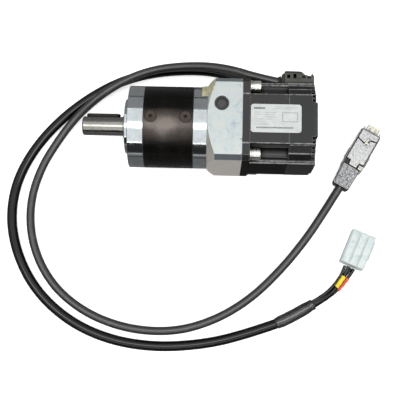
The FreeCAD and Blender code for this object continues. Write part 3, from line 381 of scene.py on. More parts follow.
def connector_plastic(name):
    """Dark olive moulding, black along its back and at its collar, with its windows painted black as shade.
    """
    color = (0.070, 0.071, 0.060)
    finish = Finish(name, color, 0.5, 0.0)
    finish.edge_radius = 0.25
    broad = finish.noise(0.25, 5.0, 0.65)
    fine = finish.noise(2.6, 3.0, 0.6)
    toned = finish.ramp(broad, (0.3, scaled(color, 0.65)), (0.55, color), (0.75, scaled(color, 1.35)))
    place = finish.place()
    back = finish.math("GREATER_THAN", place["Y"], CONNECTOR_BACK_Y)
    collar = finish.math("LESS_THAN", place["X"], CONNECTOR_COLLAR_X)
    # The window floors are painted black as shade in the recesses.
    deep = finish.math("LESS_THAN", finish.absolute(place["Z"]), WINDOW_FLOOR_Z)
    row = finish.product(deep, finish.between(place["Y"], *WINDOWS_Y))
    in_window = finish.product(row, finish.between(place["X"], *WINDOWS_X))
    black = finish.math("MAXIMUM", finish.math("MAXIMUM", back, collar), in_window)
    shaded = finish.mix(finish.product(black, 0.9), toned, (0.010, 0.010, 0.008))
    wear_and_highlight = finish.mix(finish.product(finish.edge_wear_and_highlight(0.3), 0.5), shaded, (0.20, 0.20, 0.18))
    # Painted shade in corners and slots: darker colour and less gloss.
    open_air = finish.crevice_shade(2.5, 2.4)
    finish.set_color(finish.mix(open_air, (0.001, 0.001, 0.001), wear_and_highlight))
    finish.link(finish.product(open_air, 0.4), finish.shader.inputs["Specular IOR Level"])
    finish.set_roughness(finish.ramp(fine, (0.3, 0.42), (0.7, 0.6)))
    finish.bump(fine, 0.3, 0.03)
    return finish.material


def cable_jacket(name, color, roughness, sheen, mottle, relief=1.0):
    """Extruded jacket: faint lengthwise flow, dust and small scuffs."""
    finish = Finish(name, color, roughness, 0.0)
    finish.shader.inputs["Specular IOR Level"].default_value = sheen
    dust = finish.noise(0.12, 6.0, 0.65)
    fine = finish.noise(1.2, 4.0, 0.65)
    base = finish.ramp(dust, (0.32, scaled(color, 0.8)), (0.6, color), (0.8, scaled(color, mottle)))
    finish.set_color(base)
    finish.set_roughness(finish.ramp(fine, (0.3, roughness * 0.8), (0.72, min(1.0, roughness * 1.35))))
    finish.bump(fine, 0.10 * relief, 0.02)
    finish.bump(finish.noise(0.25, 2.0), 0.15 * relief, 0.12)
    return finish.material


LABEL_BARS = (  # start, end, lower and upper edge, grey level: blank bars where print would be
    (89.75, 97.75, 6.75, 8.01, 0.08), (105.65, 111.15, 8.21, 8.55, 0.26),
    (112.35, 121.15, 8.21, 8.55, 0.3), (103.35, 120.75, 7.04, 7.33, 0.3),
    (90.15, 93.55, 4.13, 4.47, 0.3), (97.65, 105.75, 4.13, 4.47, 0.3),
    (90.15, 94.35, 2.48, 2.82, 0.3), (97.65, 104.55, 2.48, 2.82, 0.3),
    (90.15, 92.75, 0.83, 1.17, 0.3), (97.65, 106.15, 0.83, 1.17, 0.3),
    (90.15, 96.55, -0.81, -0.47, 0.3), (97.65, 103.15, -0.81, -0.47, 0.3),
    (90.15, 98.75, -2.46, -2.12, 0.3), (90.15, 100.75, -4.4, -4.02, 0.26),
    (91.55, 117.75, -7.31, -6.15, 0.17), (109.95, 120.75, 4.13, 4.52, 0.16),
    (109.95, 120.75, -2.46, -2.07, 0.16), (109.95, 110.35, -2.46, 4.52, 0.16),
    (120.35, 120.75, -2.46, 4.52, 0.16),
)


def label_film(name):
    """White label with plain grey bars in place of print, and no lettering."""
    finish = Finish(name, (0.80, 0.82, 0.80), 0.42, 0.0)
    dirt = finish.noise(0.2, 5.0, 0.6)
    color = finish.ramp(dirt, (0.3, (0.62, 0.65, 0.635)), (0.75, (0.50, 0.52, 0.50)))
    place = finish.place()
    faded = finish.ramp(finish.noise(1.3, 3.0), (0.35, 0.55), (0.6, 0.95))
    for start, end, low, high, grey in LABEL_BARS:
        bar = finish.product(finish.between(place["X"], start, end), finish.between(place["Y"], low, high))
        color = finish.mix(finish.product(bar, faded), color, (grey, grey, grey))
    finish.set_color(color)
    finish.bump(finish.noise(0.5, 3.0), 0.1, 0.02)
    return finish.material


def nylon(name):
    """Natural nylon: milky and slightly see-through, with painted shade between its ribs."""
    finish = Finish(name, (0.66, 0.72, 0.70), 0.30, 0.0)
    finish.shader.inputs["Subsurface Weight"].default_value = 0.25
    finish.shader.inputs["Subsurface Scale"].default_value = 0.0015
    finish.shader.inputs["Subsurface Radius"].default_value = (1.0, 1.0, 0.9)
    finish.edge_radius = 0.25
    cloud = finish.noise(0.18, 5.0, 0.6)
    milky = finish.ramp(cloud, (0.3, (0.52, 0.61, 0.60)), (0.55, (0.66, 0.72, 0.70)),
                        (0.8, (0.74, 0.75, 0.69)))
    # Painted shade between the ribs.
    finish.set_color(finish.mix(finish.crevice_shade(2.2, 1.4), (0.38, 0.46, 0.45), milky))
    finish.set_roughness(finish.ramp(cloud, (0.3, 0.22), (0.7, 0.42)))
    finish.bump(finish.noise(0.9, 3.0), 0.12, 0.03)
    return finish.material


def scratched_hood(name, dark, middle, bright, roughness):
    """Plated hood metal, mottled and scratched, with painted shade in its corners and slots."""
    finish = Finish(name, middle, roughness, 1.0)
    finish.edge_radius = 0.2
    mottle = finish.noise(0.75, 6.0, 0.72, distortion=0.8)
    plated = finish.ramp(mottle, (0.34, dark), (0.47, middle), (0.62, bright), (0.80, scaled(middle, 1.1)))
    scratch = finish.ramp(finish.noise(1.2, 2.0, 0.5, stretch=(1.6, 0.5, 1.0)), (0.60, 0.0), (0.66, 0.5))
    marked = finish.mix(scratch, plated, scaled(dark, 0.8))
    # Painted shade in corners and slots.
    finish.set_color(finish.mix(finish.crevice_shade(1.4, 2.2), (0.01, 0.01, 0.012), marked))
    finish.set_roughness(finish.ramp(mottle, (0.3, roughness * 1.4), (0.7, roughness * 0.8)))
    finish.bump(mottle, 0.3, 0.03)
    return finish.material


def simple_metal(name, color, roughness, per_mm=0.8):
    finish = Finish(name, color, roughness, 1.0)
    finish.edge_radius = 0.15
    grain = finish.noise(per_mm, 4.0, 0.65)
    toned = finish.ramp(grain, (0.3, scaled(color, 0.82)), (0.7, scaled(color, 1.1)))
    # Painted shade in corners and slots.
    finish.set_color(finish.mix(finish.crevice_shade(1.2, 2.0), scaled(color, 0.06), toned))
    finish.set_roughness(finish.ramp(grain, (0.3, roughness * 0.8), (0.7, roughness * 1.5)))
    finish.bump(grain, 0.15, 0.01)
    return finish.material


NICKEL = turned_steel("nickel_plate", (0.59, 0.63, 0.635), 0.10, 0.25)
SHAFT_STEEL = turned_steel("ground_shaft", (0.34, 0.33, 0.305), 0.17, 0.5)
HIDDEN_STEEL = simple_metal("inner_steel", (0.60, 0.59, 0.57), 0.28)
KEY_STEEL = simple_metal("key_steel", (0.038, 0.036, 0.032), 0.42)
SCREW_NICKEL = simple_metal("screw_nickel", (0.80, 0.77, 0.70), 0.20, 1.4)
SCREW_BROWN = simple_metal("sleeve_screw_steel", (0.070, 0.055, 0.045), 0.30, 1.6)
BLACK_OXIDE = black_oxide("black_oxide")
ZINC = zinc_block("zinc_block")
MOTOR_GREY = coated_shell("motor_grey", (0.010, 0.010, 0.009), 0.34, 0.35, 0.8, 0.02)
COVER_BLACK = coated_shell("cover_black", (0.008, 0.008, 0.008), 0.28, 0.25, 1.0, 0.10)
PLUG_GREY = moulded_plastic("access_plug_grey", (0.045, 0.044, 0.044), 0.40)
CONNECTOR_BLACK = connector_plastic("connector_black")
RUBBER = moulded_plastic("seal_rubber", (0.018, 0.018, 0.018), 0.62)
SIGNAL_JACKET = cable_jacket("signal_jacket", (0.024, 0.024, 0.023), 0.32, 0.8, 2.6)
POWER_JACKET = cable_jacket("power_jacket", (0.002, 0.002, 0.002), 0.06, 0.42, 2.5, 0.2)
SHRINK_SLEEVE = cable_jacket("heat_shrink", (0.020, 0.020, 0.020), 0.22, 0.9, 2.0)
YELLOW = moulded_plastic("yellow_marker", (0.96, 0.70, 0.01), 0.42)
RED = moulded_plastic("red_marker", (0.84, 0.11, 0.075), 0.42)
NYLON = nylon("natural_nylon")
HOOD = scratched_hood("hood_metal", (0.24, 0.24, 0.25), (0.49, 0.49, 0.48), (0.68, 0.68, 0.66), 0.30)
HOOD_REAR = scratched_hood("hood_rear", (0.075, 0.075, 0.08), (0.20, 0.20, 0.205), (0.52, 0.52, 0.525), 0.34)
HOOD_TIP = scratched_hood("hood_tip", (0.48, 0.46, 0.34), (0.66, 0.64, 0.50), (0.80, 0.78, 0.64), 0.32)
HOOD_IN_SHADE = scratched_hood("hood_in_shade", (0.010, 0.010, 0.010), (0.030, 0.030, 0.032), (0.10, 0.10, 0.10),
                           0.30)
LABEL = label_film("blank_label")
COPPER = simple_metal("winding_copper", (0.70, 0.32, 0.15), 0.35)
IRON = simple_metal("laminated_iron", (0.28, 0.28, 0.29), 0.45)
BRASS = simple_metal("contact_tin", (0.75, 0.66, 0.50), 0.3)
CAGE_BRASS = simple_metal("bearing_cage", (0.62, 0.58, 0.50), 0.3)
BOARD = moulded_plastic("circuit_board", (0.02, 0.12, 0.05), 0.45)

NODE_FINISH = {
    "front_housing": NICKEL, "rear_flange": NICKEL, "ring_gear_sleeve": BLACK_OXIDE,
    "sleeve_screws": SCREW_BROWN, "motor_adapter": ZINC, "access_plug": PLUG_GREY,
    "output_carrier_shaft": SHAFT_STEEL, "output_key": KEY_STEEL, "output_shaft_seal": RUBBER,
    "motor_flange": MOTOR_GREY, "stator_housing": MOTOR_GREY, "rear_cover": COVER_BLACK,
    "rear_bearing_bracket": MOTOR_GREY, "motor_screws": SCREW_NICKEL, "flat_washers": SCREW_NICKEL,
    "spring_washers": SCREW_NICKEL, "rear_cover_screws": SCREW_NICKEL, "connector_screws": SCREW_NICKEL,
    "rating_label": LABEL, "signal_connector": CONNECTOR_BLACK, "power_connector": CONNECTOR_BLACK,
    "signal_strain_relief": RUBBER, "power_strain_relief": RUBBER, "signal_plug_hood": HOOD,
    "signal_plug_shell": HOOD_TIP, "signal_plug_latches": HOOD_TIP, "power_plug_housing": NYLON,
    "power_plug_contacts": BRASS, "power_heat_shrink": SHRINK_SLEEVE, "marker_sleeve_yellow": YELLOW,
    "marker_sleeve_red": RED, "stator_windings": COPPER, "stator_core": IRON, "rotor_core": IRON,
    "rotor_magnets": IRON, "encoder_magnet": IRON, "encoder_board": BOARD,
    "output_bearing_cages": CAGE_BRASS, "input_bearing_cages": CAGE_BRASS,
}


def dress_nodes():
    for name, node in nodes.items():
        finish = NODE_FINISH.get(name, HIDDEN_STEEL)
        node.data.materials.clear()
        node.data.materials.append(finish)


# ---- cables ----------------------------------------------------------------------------------
SIGNAL_RADIUS = 0.0031
POWER_RADIUS = 0.0037
LEAD_RADIUS = 0.0012
SIGNAL_ROUTE = (
    (0.1082, 0.0338, 0.0090), (0.0920, 0.0373, 0.0085), (0.0760, 0.0435, 0.0050),
    (0.0580, 0.0480, 0.0000), (0.0390, 0.0495, -0.0050), (0.0190, 0.0485, -0.0095),
    (0.0010, 0.0436, -0.0120), (-0.0160, 0.0346, -0.0135), (-0.0310, 0.0245, -0.0180),
    (-0.0460, 0.0115, -0.0240), (-0.0585, -0.0060, -0.0266), (-0.0695, -0.0260, -0.0268),
    (-0.0763, -0.0500, -0.0268), (-0.0756, -0.0760, -0.0268), (-0.0666, -0.1015, -0.0268),
    (-0.0500, -0.1230, -0.0268), (-0.0245, -0.1395, -0.0268), (0.0060, -0.1483, -0.0268),
    (0.0380, -0.1485, -0.0268), (0.0670, -0.1390, -0.0268), (0.0925, -0.1228, -0.0268),
    (0.1155, -0.0996, -0.0268), (0.1340, -0.0760, -0.0263), (0.1475, -0.0548, -0.0252),
    (0.1581, -0.0373, -0.0245),
)
POWER_ROUTE = (
    (0.1082, 0.0338, -0.0090), (0.0920, 0.0373, -0.0100), (0.0760, 0.0450, -0.0140),
    (0.0570, 0.0510, -0.0195), (0.0360, 0.0526, -0.0240), (0.0140, 0.0508, -0.0261),
    (-0.0090, 0.0444, -0.0262), (-0.0320, 0.0318, -0.0262), (-0.0550, 0.0133, -0.0262),
    (-0.0750, -0.0105, -0.0262), (-0.0880, -0.0375, -0.0262), (-0.0910, -0.0660, -0.0262),
    (-0.0840, -0.0945, -0.0262), (-0.0680, -0.1215, -0.0262), (-0.0425, -0.1430, -0.0262),
    (-0.0125, -0.1556, -0.0262), (0.0200, -0.1602, -0.0262), (0.0530, -0.1580, -0.0262),
    (0.0830, -0.1513, -0.0260), (0.1105, -0.1412, -0.0254),
)
LEAD_ROUTES = (
    ((0.1373, -0.1245, -0.0238), (0.1454, -0.1195, -0.0238), (0.1514, -0.1142, -0.0237),
     (0.1566, -0.1077, -0.0232), (0.1596, -0.1024, -0.0225), (0.1615, -0.0970, -0.0220)),
    ((0.1387, -0.1265, -0.0238), (0.1468, -0.1216, -0.0238), (0.1533, -0.1159, -0.0236),
     (0.1586, -0.1086, -0.0230), (0.1619, -0.1032, -0.0224), (0.1640, -0.0977, -0.0220)),
    ((0.1373, -0.1245, -0.0264), (0.1456, -0.1202, -0.0267), (0.1528, -0.1146, -0.0270),
     (0.1588, -0.1078, -0.0268), (0.1634, -0.1026, -0.0260), (0.1664, -0.0984, -0.0252)),
    ((0.1387, -0.1265, -0.0264), (0.1480, -0.1216, -0.0268), (0.1558, -0.1159, -0.0272),
     (0.1618, -0.1090, -0.0266), (0.1658, -0.1036, -0.0256), (0.1685, -0.0992, -0.0246)),
)
LEAD_LENGTHS = (0.037, 0.039, 0.040, 0.041)


def smooth_curve(name, route, steps):
    """Curve led by the route's points, drawn with this many steps between two of them."""
    data = bpy.data.curves.new(name, "CURVE")
    data.dimensions = "3D"
    spline = data.splines.new("NURBS")
    spline.points.add(len(route) - 1)
    for point, place in zip(spline.points, route):
        point.co = (*place, 1.0)
    spline.order_u = 3
    spline.use_endpoint_u = True
    spline.resolution_u = steps
    return data


def cable_curve(name, route, radius, finish):
    """Round cable along the smooth curve that a route leads."""
    data = smooth_curve(name, route, 10)
    data.bevel_depth = radius
    data.bevel_resolution = 7
    data.use_fill_caps = True
    data.materials.append(finish)
    piece = bpy.data.objects.new(name, data)
    bpy.context.collection.objects.link(piece)
    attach(piece, "root")
    return piece


def make_cables(shrink, yellow, red, sheath, hood, shell):
    """Both cables and the four leads."""
    signal = cable_curve("signal_cable_run", SIGNAL_ROUTE, SIGNAL_RADIUS, SIGNAL_JACKET)
    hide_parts("signal_cable")
    power = cable_curve("power_cable_run", POWER_ROUTE, POWER_RADIUS, POWER_JACKET)
    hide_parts("power_cable")
    carried = ([nodes["power_plug_housing"]], [yellow], [nodes["power_plug_contacts"]], [red])
    for number, (route, length, pieces) in enumerate(zip(LEAD_ROUTES, LEAD_LENGTHS, carried), 1):
        lead = cable_curve("power_lead_run_%d" % number, route, LEAD_RADIUS, POWER_JACKET)
        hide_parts("power_lead_%d" % number)


# ---- small soft pieces -----------------------------------------------------------------------
def add_piece(name, bm, *finishes, smooth=True):
    """Piece on the root body, made from a bmesh."""
    mesh = bpy.data.meshes.new(name)
    bm.to_mesh(mesh)
    bm.free()
    for polygon in mesh.polygons:
        polygon.use_smooth = smooth
    for finish in finishes:
        mesh.materials.append(finish)
    piece = bpy.data.objects.new(name, mesh)
    bpy.context.collection.objects.link(piece)
    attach(piece, "root")
    return piece


def centreline(name, route):
    """Points along the smooth curve that a route leads."""
    holder = bpy.data.objects.new(name, smooth_curve(name, route, 24))
    mesh = bpy.data.meshes.new_from_object(holder)
    points = [vertex.co.copy() for vertex in mesh.vertices]
    bpy.data.objects.remove(holder)
    bpy.data.meshes.remove(mesh)
    return points


def sleeve_mesh(name, route, radius_at, finish, sides=40):
    """Open-ended tube; radius_at(share of length, angle) gives its radius."""
    points = centreline(name + "_line", route)
    bm = bmesh.new()
    rings = []
    count = len(points)
    up = Vector((0, 0, 1))
    for index, point in enumerate(points):
        before = points[max(index - 1, 0)]
        after = points[min(index + 1, count - 1)]
        along = (after - before).normalized()
        side = along.cross(up).normalized()
        top = side.cross(along)
        share = index / (count - 1)
        ring = []
        for step in range(sides):
            angle = 2 * math.pi * step / sides
            reach = radius_at(share, angle)
            outward = side * (reach * math.cos(angle))
            upward = top * (reach * math.sin(angle))
            ring.append(bm.verts.new(point + outward + upward))
        rings.append(ring)
    for first, second in zip(rings, rings[1:]):
        for step in range(sides):
            following = (step + 1) % sides
            bm.faces.new((first[step], first[following], second[following], second[step]))
    bmesh.ops.recalc_face_normals(bm, faces=bm.faces)
    return add_piece(name, bm, finish)


SHRINK_ROUTE = ((0.1105, -0.1412, -0.0254), (0.1250, -0.1346, -0.0252), (0.1385, -0.1256, -0.0250))
YELLOW_ROUTE = ((0.1551, -0.1131, -0.0234), (0.1584, -0.1087, -0.0230), (0.1607, -0.1049, -0.0226))
RED_ROUTE = ((0.1566, -0.1150, -0.0271), (0.1614, -0.1093, -0.0266), (0.1639, -0.1059, -0.0261))


def shrink_radius(share, angle):
    """Heat-shrink drawn down on the cable at one end, wavy and open at the other."""
    radius = 0.00385 + 0.00062 * min(1.0, share * 7)
    radius += 0.00003 * math.sin(share * 40) * min(1.0, share * 5)
    radius -= 0.0042 * max(0.0, share - 0.78)
    radius += 0.00009 * noise.noise(Vector((share * 9, math.cos(angle) * 1.3, math.sin(angle) * 1.3)))
    if share > 0.90:
        radius += 0.0006 * (share - 0.90) / 0.10 * (1.0 + 0.5 * math.sin(angle + 1.0))
    if share > 0.985:
        radius -= 0.0019 * (share - 0.985) / 0.015
    if share < 0.02:
        radius -= 0.0006 * (0.02 - share) / 0.02
    return radius


def marker_radius(share, angle):
    """Marker sleeve with a slightly flared and rolled mouth at each end."""
    radius = 0.00172 + 0.00008 * math.sin(share * 17 + math.cos(angle))
    nearest = min(share, 1 - share)
    if nearest < 0.02:
        radius -= 0.0004 * (0.02 - nearest) / 0.02
    return radius


PLUG_REAR = Vector((0.1581, -0.0373, 0.0))
PLUG_FRONT = Vector((0.1819, 0.0047, 0.0))
PLUG_AXIS = (PLUG_FRONT - PLUG_REAR).normalized()
PLUG_RIGHT = Vector((PLUG_AXIS.y, -PLUG_AXIS.x, 0.0))


def on_plug(forward, sideways, z):
    """Point on the signal plug, in millimetres from its cable end, to its right and up."""
    place = PLUG_REAR + PLUG_AXIS * (forward * MM) + PLUG_RIGHT * (sideways * MM)
    return Vector((place.x, place.y, z * MM))


def add_block(bm, outline, low, high, top_index, side_index, bevel):
    """Prism with rounded upper edges, in two materials."""
    base = [bm.verts.new(on_plug(f, s, low)) for f, s in outline]
    cap = [bm.verts.new(on_plug(f, s, high)) for f, s in outline]
    top = bm.faces.new(cap)
    faces = [top, bm.faces.new(list(reversed(base)))]
    for index in range(len(outline)):
        following = (index + 1) % len(outline)
        faces.append(bm.faces.new((base[index], base[following], cap[following], cap[index])))
    for face in faces:
        face.material_index = side_index
    top.material_index = top_index
    bmesh.ops.recalc_face_normals(bm, faces=faces)
    if bevel:
        bmesh.ops.bevel(bm, geom=list(top.edges), offset=bevel * MM, segments=3, affect="EDGES", profile=0.5)


# The third finish is a near-black copy of the hood metal on side faces and in gaps: painted shade.
METAL, REAR, IN_SHADE, TIP = range(4)
PLUG_FINISHES = (HOOD, HOOD_REAR, HOOD_IN_SHADE, HOOD_TIP)
PLUG_UNDERSIDE = -30.0  # heights on the plug, in millimetres
BODY_TOP = -19.3
PLATE_SEAT = -19.6
SHELL_MIDDLE = -24.4


def plug_piece(name, bm, node):
    piece = add_piece(name, bm, *PLUG_FINISHES, smooth=False)
    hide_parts(node)
    return piece


def make_signal_hood():
    """Hood of the signal plug: pressed covers, front plate, spring clip, latch, screw and edge strip."""
    bm = bmesh.new()
    body = [(0.0, -5.2), (1.4, -6.6), (15.5, -7.6), (18.0, -8.2), (47.0, -8.2), (48.2, -7.2),
            (48.2, 7.2), (47.0, 8.2), (18.0, 8.2), (15.5, 7.0), (1.4, 6.6), (0.0, 5.2)]
    add_block(bm, body, PLUG_UNDERSIDE, BODY_TOP, IN_SHADE, IN_SHADE, 0.5)
    rear_cover = [(0.9, -4.9), (1.9, -5.9), (16.0, -6.7), (17.2, -6.2), (17.0, 5.8), (15.6, 6.2),
                  (1.9, 5.9), (0.9, 4.9)]
    add_block(bm, rear_cover, PLATE_SEAT, -18.8, REAR, REAR, 0.35)
    panel = [(17.8, -3.0), (21.6, -3.4), (22.0, -6.9), (39.2, -6.9), (37.6, -1.6), (36.8, 0.6),
             (38.4, 2.0), (41.4, 2.6), (42.4, 7.1), (22.4, 7.1), (21.8, 3.6), (17.8, 3.2)]
    add_block(bm, panel, PLATE_SEAT, -18.75, METAL, METAL, 0.3)
    front_plate = [(39.9, -6.9), (47.4, -6.9), (47.4, 7.1), (43.2, 7.1), (42.3, 2.4), (39.2, 1.4),
                   (38.4, -0.4)]
    add_block(bm, front_plate, PLATE_SEAT, -18.85, METAL, REAR, 0.3)
    clip = [(36.0, -0.9), (42.6, 0.3), (42.8, 1.2), (39.4, 1.0), (38.6, 3.4), (37.6, 3.2), (38.0, 0.8),
            (35.8, 0.2)]
    add_block(bm, clip, -19.0, -18.4, TIP, IN_SHADE, 0.15)
    right_latch = [(17.6, 4.4), (20.9, 4.2), (21.2, 8.3), (17.2, 7.4)]
    add_block(bm, right_latch, PLATE_SEAT, -18.55, TIP, IN_SHADE, 0.4)
    twelfth = math.pi / 6
    screw = [(19.3 + 1.0 * math.cos(k * twelfth), 6.1 + 1.0 * math.sin(k * twelfth)) for k in range(12)]
    add_block(bm, screw, -18.8, -18.35, METAL, IN_SHADE, 0.15)
    left_strip = [(22.6, -7.9), (46.4, -7.9), (46.4, -7.6), (22.6, -7.6)]
    add_block(bm, left_strip, -19.8, -19.05, METAL, METAL, 0.0)
    return plug_piece("signal_hood", bm, "signal_plug_hood")


def make_signal_shell():
    """Mating shell of the signal plug, with its tongue, springs, rim and side hooks."""
    bm = bmesh.new()
    middle = SHELL_MIDDLE
    wall = [(48.2, -4.7), (53.6, -4.4), (53.6, 4.4), (48.2, 4.7)]
    add_block(bm, wall, middle + 2.0, middle + 2.6, TIP, IN_SHADE, 0.15)
    add_block(bm, wall, middle - 2.6, middle - 2.0, TIP, IN_SHADE, 0.0)
    for s in (-1, 1):
        side_wall = [(48.2, s * 4.7), (53.6, s * 4.4), (53.6, s * 3.9), (48.2, s * 4.2)]
        add_block(bm, side_wall, middle - 2.0, middle + 2.0, IN_SHADE, IN_SHADE, 0.0)
        hook = [(48.2, s * 5.9), (49.8, s * 5.9), (50.4, s * 6.6), (49.4, s * 7.3), (48.2, s * 7.3)]
        add_block(bm, hook, middle - 1.4, middle + 2.2, METAL, IN_SHADE, 0.15)
    tongue = [(48.4, -2.8), (52.6, -2.8), (52.6, 2.8), (48.4, 2.8)]
    add_block(bm, tongue, middle - 0.7, middle + 0.7, IN_SHADE, IN_SHADE, 0.0)
    for f, s in ((50.4, -2.2), (50.4, 2.2)):
        spring = [(f - 1.1, s - 0.5), (f + 1.2, s - 0.35), (f + 1.2, s + 0.35), (f - 1.1, s + 0.5)]
        add_block(bm, spring, middle + 2.4, middle + 2.9, METAL, IN_SHADE, 0.1)
    rim = [(48.2, -5.0), (53.8, -4.75), (53.8, 4.75), (48.2, 5.0)]
    add_block(bm, rim, middle + 0.6, middle + 2.1, IN_SHADE, IN_SHADE, 0.0)
    collar = [(48.2, -5.6), (48.9, -5.6), (48.9, 5.6), (48.2, 5.6)]
    add_block(bm, collar, middle - 3.2, middle + 3.4, TIP, IN_SHADE, 0.1)
    return plug_piece("signal_shell", bm, "signal_plug_shell")


SHEATH_ROUTE = ((0.1368, -0.1267, -0.0252), (0.1448, -0.1224, -0.0252), (0.1528, -0.1166, -0.0252))


def sheath_radius(share, angle):
    """Inner sheath of the power cable, slightly flattened, cut off square at its end."""
    radius = 0.0031 - 0.0007 * share
    radius += 0.00012 * noise.noise(Vector((share * 7, math.cos(angle) * 2, math.sin(angle) * 2)))
    radius -= 0.0003 * abs(math.sin(angle))
    if share > 0.97:
        radius -= 0.0009 * (share - 0.97) / 0.03
    return radius


def make_soft_pieces():
    """Sleeves on the power cable and its leads, and both parts of the signal plug."""
    shrink = sleeve_mesh("heat_shrink_sleeve", SHRINK_ROUTE, shrink_radius, SHRINK_SLEEVE)
    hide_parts("power_heat_shrink")
    yellow = sleeve_mesh("yellow_marker_sleeve", YELLOW_ROUTE, marker_radius, YELLOW, 24)
    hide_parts("marker_sleeve_yellow")
    red = sleeve_mesh("red_marker_sleeve", RED_ROUTE, marker_radius, RED, 24)
    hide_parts("marker_sleeve_red")
    sheath = sleeve_mesh("power_inner_sheath", SHEATH_ROUTE, sheath_radius, POWER_JACKET)
    return shrink, yellow, red, sheath, make_signal_hood(), make_signal_shell()


def film_finish():
    """Old clear tape, yellowed and crazed."""
    finish = Finish("yellowed_tape", (0.72, 0.66, 0.40), 0.35, 0.0)
    finish.shader.inputs["Alpha"].default_value = 0.62
    cloud = finish.noise(0.5, 5.0, 0.65)
    finish.set_color(finish.ramp(cloud, (0.3, (0.50, 0.44, 0.20)), (0.55, (0.72, 0.68, 0.44)),
                                 (0.8, (0.86, 0.85, 0.70))))
    finish.set_roughness(finish.ramp(cloud, (0.3, 0.25), (0.7, 0.55)))
    finish.bump(cloud, 0.5, 0.15)
    return finish.material


HALF = 30.0  # half the width of ring and block, in millimetres
CONE_START = 57.0
CONE_LENGTH = 5.6
CONE_RISE = 10.0


def tape_height(x, degrees):
    """Outer radius of ring, cone and block in millimetres, at x and at an angle from +Y up."""
    turn = math.radians(degrees)
    if x < CONE_START:
        return HALF
    flat = HALF / max(math.cos(turn), math.sin(turn))
    return min(HALF + (x - CONE_START) / CONE_LENGTH * CONE_RISE, flat)


def make_tape_remnant():
    """Scrap of tape stuck over the joint of the rear ring and the adapter's cone."""
    columns, rows = 26, 34
    bm = bmesh.new()
    grid = []
    for row in range(rows):
        line = []
        for column in range(columns):
            across = column / (columns - 1)
            up = row / (rows - 1)
            ragged = noise.noise(Vector((across * 5, 3.1, 0))) * 3.0
            x = 52.6 + 8.4 * across + 1.1 * noise.noise(Vector((up * 6, 0.4, 1.7)))
            degrees = 14 + 42 * up + ragged
            lift = 0.22 + 0.9 * max(0.0, noise.noise(Vector((across * 4, up * 5, 9.0)))) * (1 - up)
            radius = tape_height(x, degrees) + lift
            turn = math.radians(degrees)
            place = (x * MM, radius * math.cos(turn) * MM, radius * math.sin(turn) * MM)
            line.append(bm.verts.new(place))
        grid.append(line)
    for row in range(rows - 1):
        for column in range(columns - 1):
            if noise.noise(Vector((row * 0.35, column * 0.35, 4.2))) < -0.42:
                continue
            bm.faces.new((grid[row][column], grid[row][column + 1],
                          grid[row + 1][column + 1], grid[row + 1][column]))
    loose = [vertex for vertex in bm.verts if not vertex.link_faces]
    bmesh.ops.delete(bm, geom=loose, context="VERTS")
    piece = add_piece("tape_remnant", bm, film_finish())
    piece.modifiers.new("thickness", "SOLIDIFY").thickness = 0.00008


# ---- room ------------------------------------------------------------------------------------
def make_floor():
    """Wide pale floor just below the object, left out of its reflections."""
    mesh = bpy.data.meshes.new("floor")
    half = 6.0
    corners = [(-half, -half, 0), (half, -half, 0), (half, half, 0), (-half, half, 0)]
    mesh.from_pydata(corners, [], [(0, 1, 2, 3)])
    floor = bpy.data.objects.new("floor", mesh)
    floor.location = (MIDDLE_X, -0.05, FLOOR_Z - 0.0002)
    bpy.context.collection.objects.link(floor)
    finish = Finish("pale_floor", (0.93, 0.93, 0.93), 0.9)
    finish.shader.inputs["Emission Color"].default_value = (1.0, 1.0, 1.0, 1.0)
    finish.shader.inputs["Emission Strength"].default_value = 0.55
    mesh.materials.append(finish.material)
    floor.visible_glossy = False


LIGHT_HEIGHT = 1.0


def ceiling_light(name, north_deg, south_deg, length, radiance, color=(1.0, 1.0, 1.0)):
    """Light panel overhead, between two angles from the vertical, positive to the north."""
    north = LIGHT_HEIGHT * math.tan(math.radians(north_deg))
    south = LIGHT_HEIGHT * math.tan(math.radians(south_deg))
    data = bpy.data.lights.new(name, "AREA")
    data.shape = "RECTANGLE"
    data.size = length
    data.size_y = north - south
    data.energy = radiance * math.pi * length * (north - south)
    data.color = color
    light = bpy.data.objects.new(name, data)
    light.location = (MIDDLE_X, (north + south) / 2, LIGHT_HEIGHT)
    bpy.context.collection.objects.link(light)
    return light


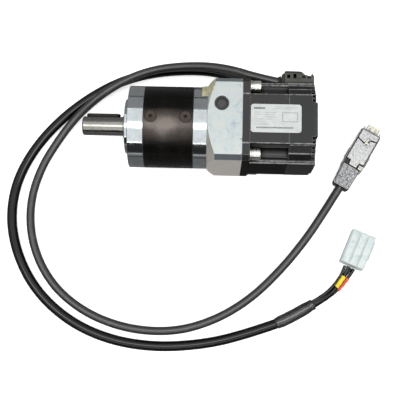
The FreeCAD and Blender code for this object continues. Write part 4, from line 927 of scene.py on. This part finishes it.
def make_lights():
    ceiling_light("overhead_softbox", 33.0, -57.0, 2.4, 0.80, (0.95, 0.98, 1.0))
    key = ceiling_light("key_panel", -3.0, -17.0, 1.3, 4.2, (1.0, 0.99, 0.97))
    key.location.z = LIGHT_HEIGHT - 0.01  # just below the softbox
    ceiling_light("north_strip", 35.6, 34.2, 1.8, 3.0)
    ceiling_light("south_strip", -58.0, -59.6, 2.4, 6.0)
    make_world()


ROOM = (  # degrees from the vertical, positive to the north, and grey level
    (-180, 0.20), (-99.5, 0.20), (-98, 0.7), (-95.5, 0.7), (-94, 0.03), (-60, 0.03), (-57, 0.4), (33, 0.4),
    (34, 0.33), (76, 0.33), (77, 0.02), (79.5, 0.02), (81, 0.28), (120, 0.28), (180, 0.20),
)


def make_world():
    """Room that changes with the angle from the vertical, northwards and southwards."""
    world = bpy.data.worlds.new("studio")
    world.use_nodes = True
    tree = world.node_tree
    source = tree.nodes.new("ShaderNodeTexCoord")
    split = tree.nodes.new("ShaderNodeSeparateXYZ")
    angle = tree.nodes.new("ShaderNodeMath")
    angle.operation = "ARCTAN2"
    turns = tree.nodes.new("ShaderNodeMath")
    turns.operation = "MULTIPLY_ADD"
    turns.inputs[1].default_value = 0.5 / math.pi
    turns.inputs[2].default_value = 0.5
    ramp = tree.nodes.new("ShaderNodeValToRGB")
    tree.links.new(source.outputs["Generated"], split.inputs["Vector"])
    tree.links.new(split.outputs["Y"], angle.inputs[0])
    tree.links.new(split.outputs["Z"], angle.inputs[1])
    tree.links.new(angle.outputs["Value"], turns.inputs[0])
    tree.links.new(turns.outputs["Value"], ramp.inputs["Fac"])
    tree.links.new(ramp.outputs["Color"], tree.nodes["Background"].inputs["Color"])
    fill_ramp(ramp, [(degrees / 360 + 0.5, (level, level, level * 1.02)) for degrees, level in ROOM])
    bpy.context.scene.world = world
    bpy.context.scene.view_settings.view_transform = "Standard"


make_camera()
make_cables(*make_soft_pieces())
dress_nodes()
make_tape_remnant()
make_floor()
make_lights()
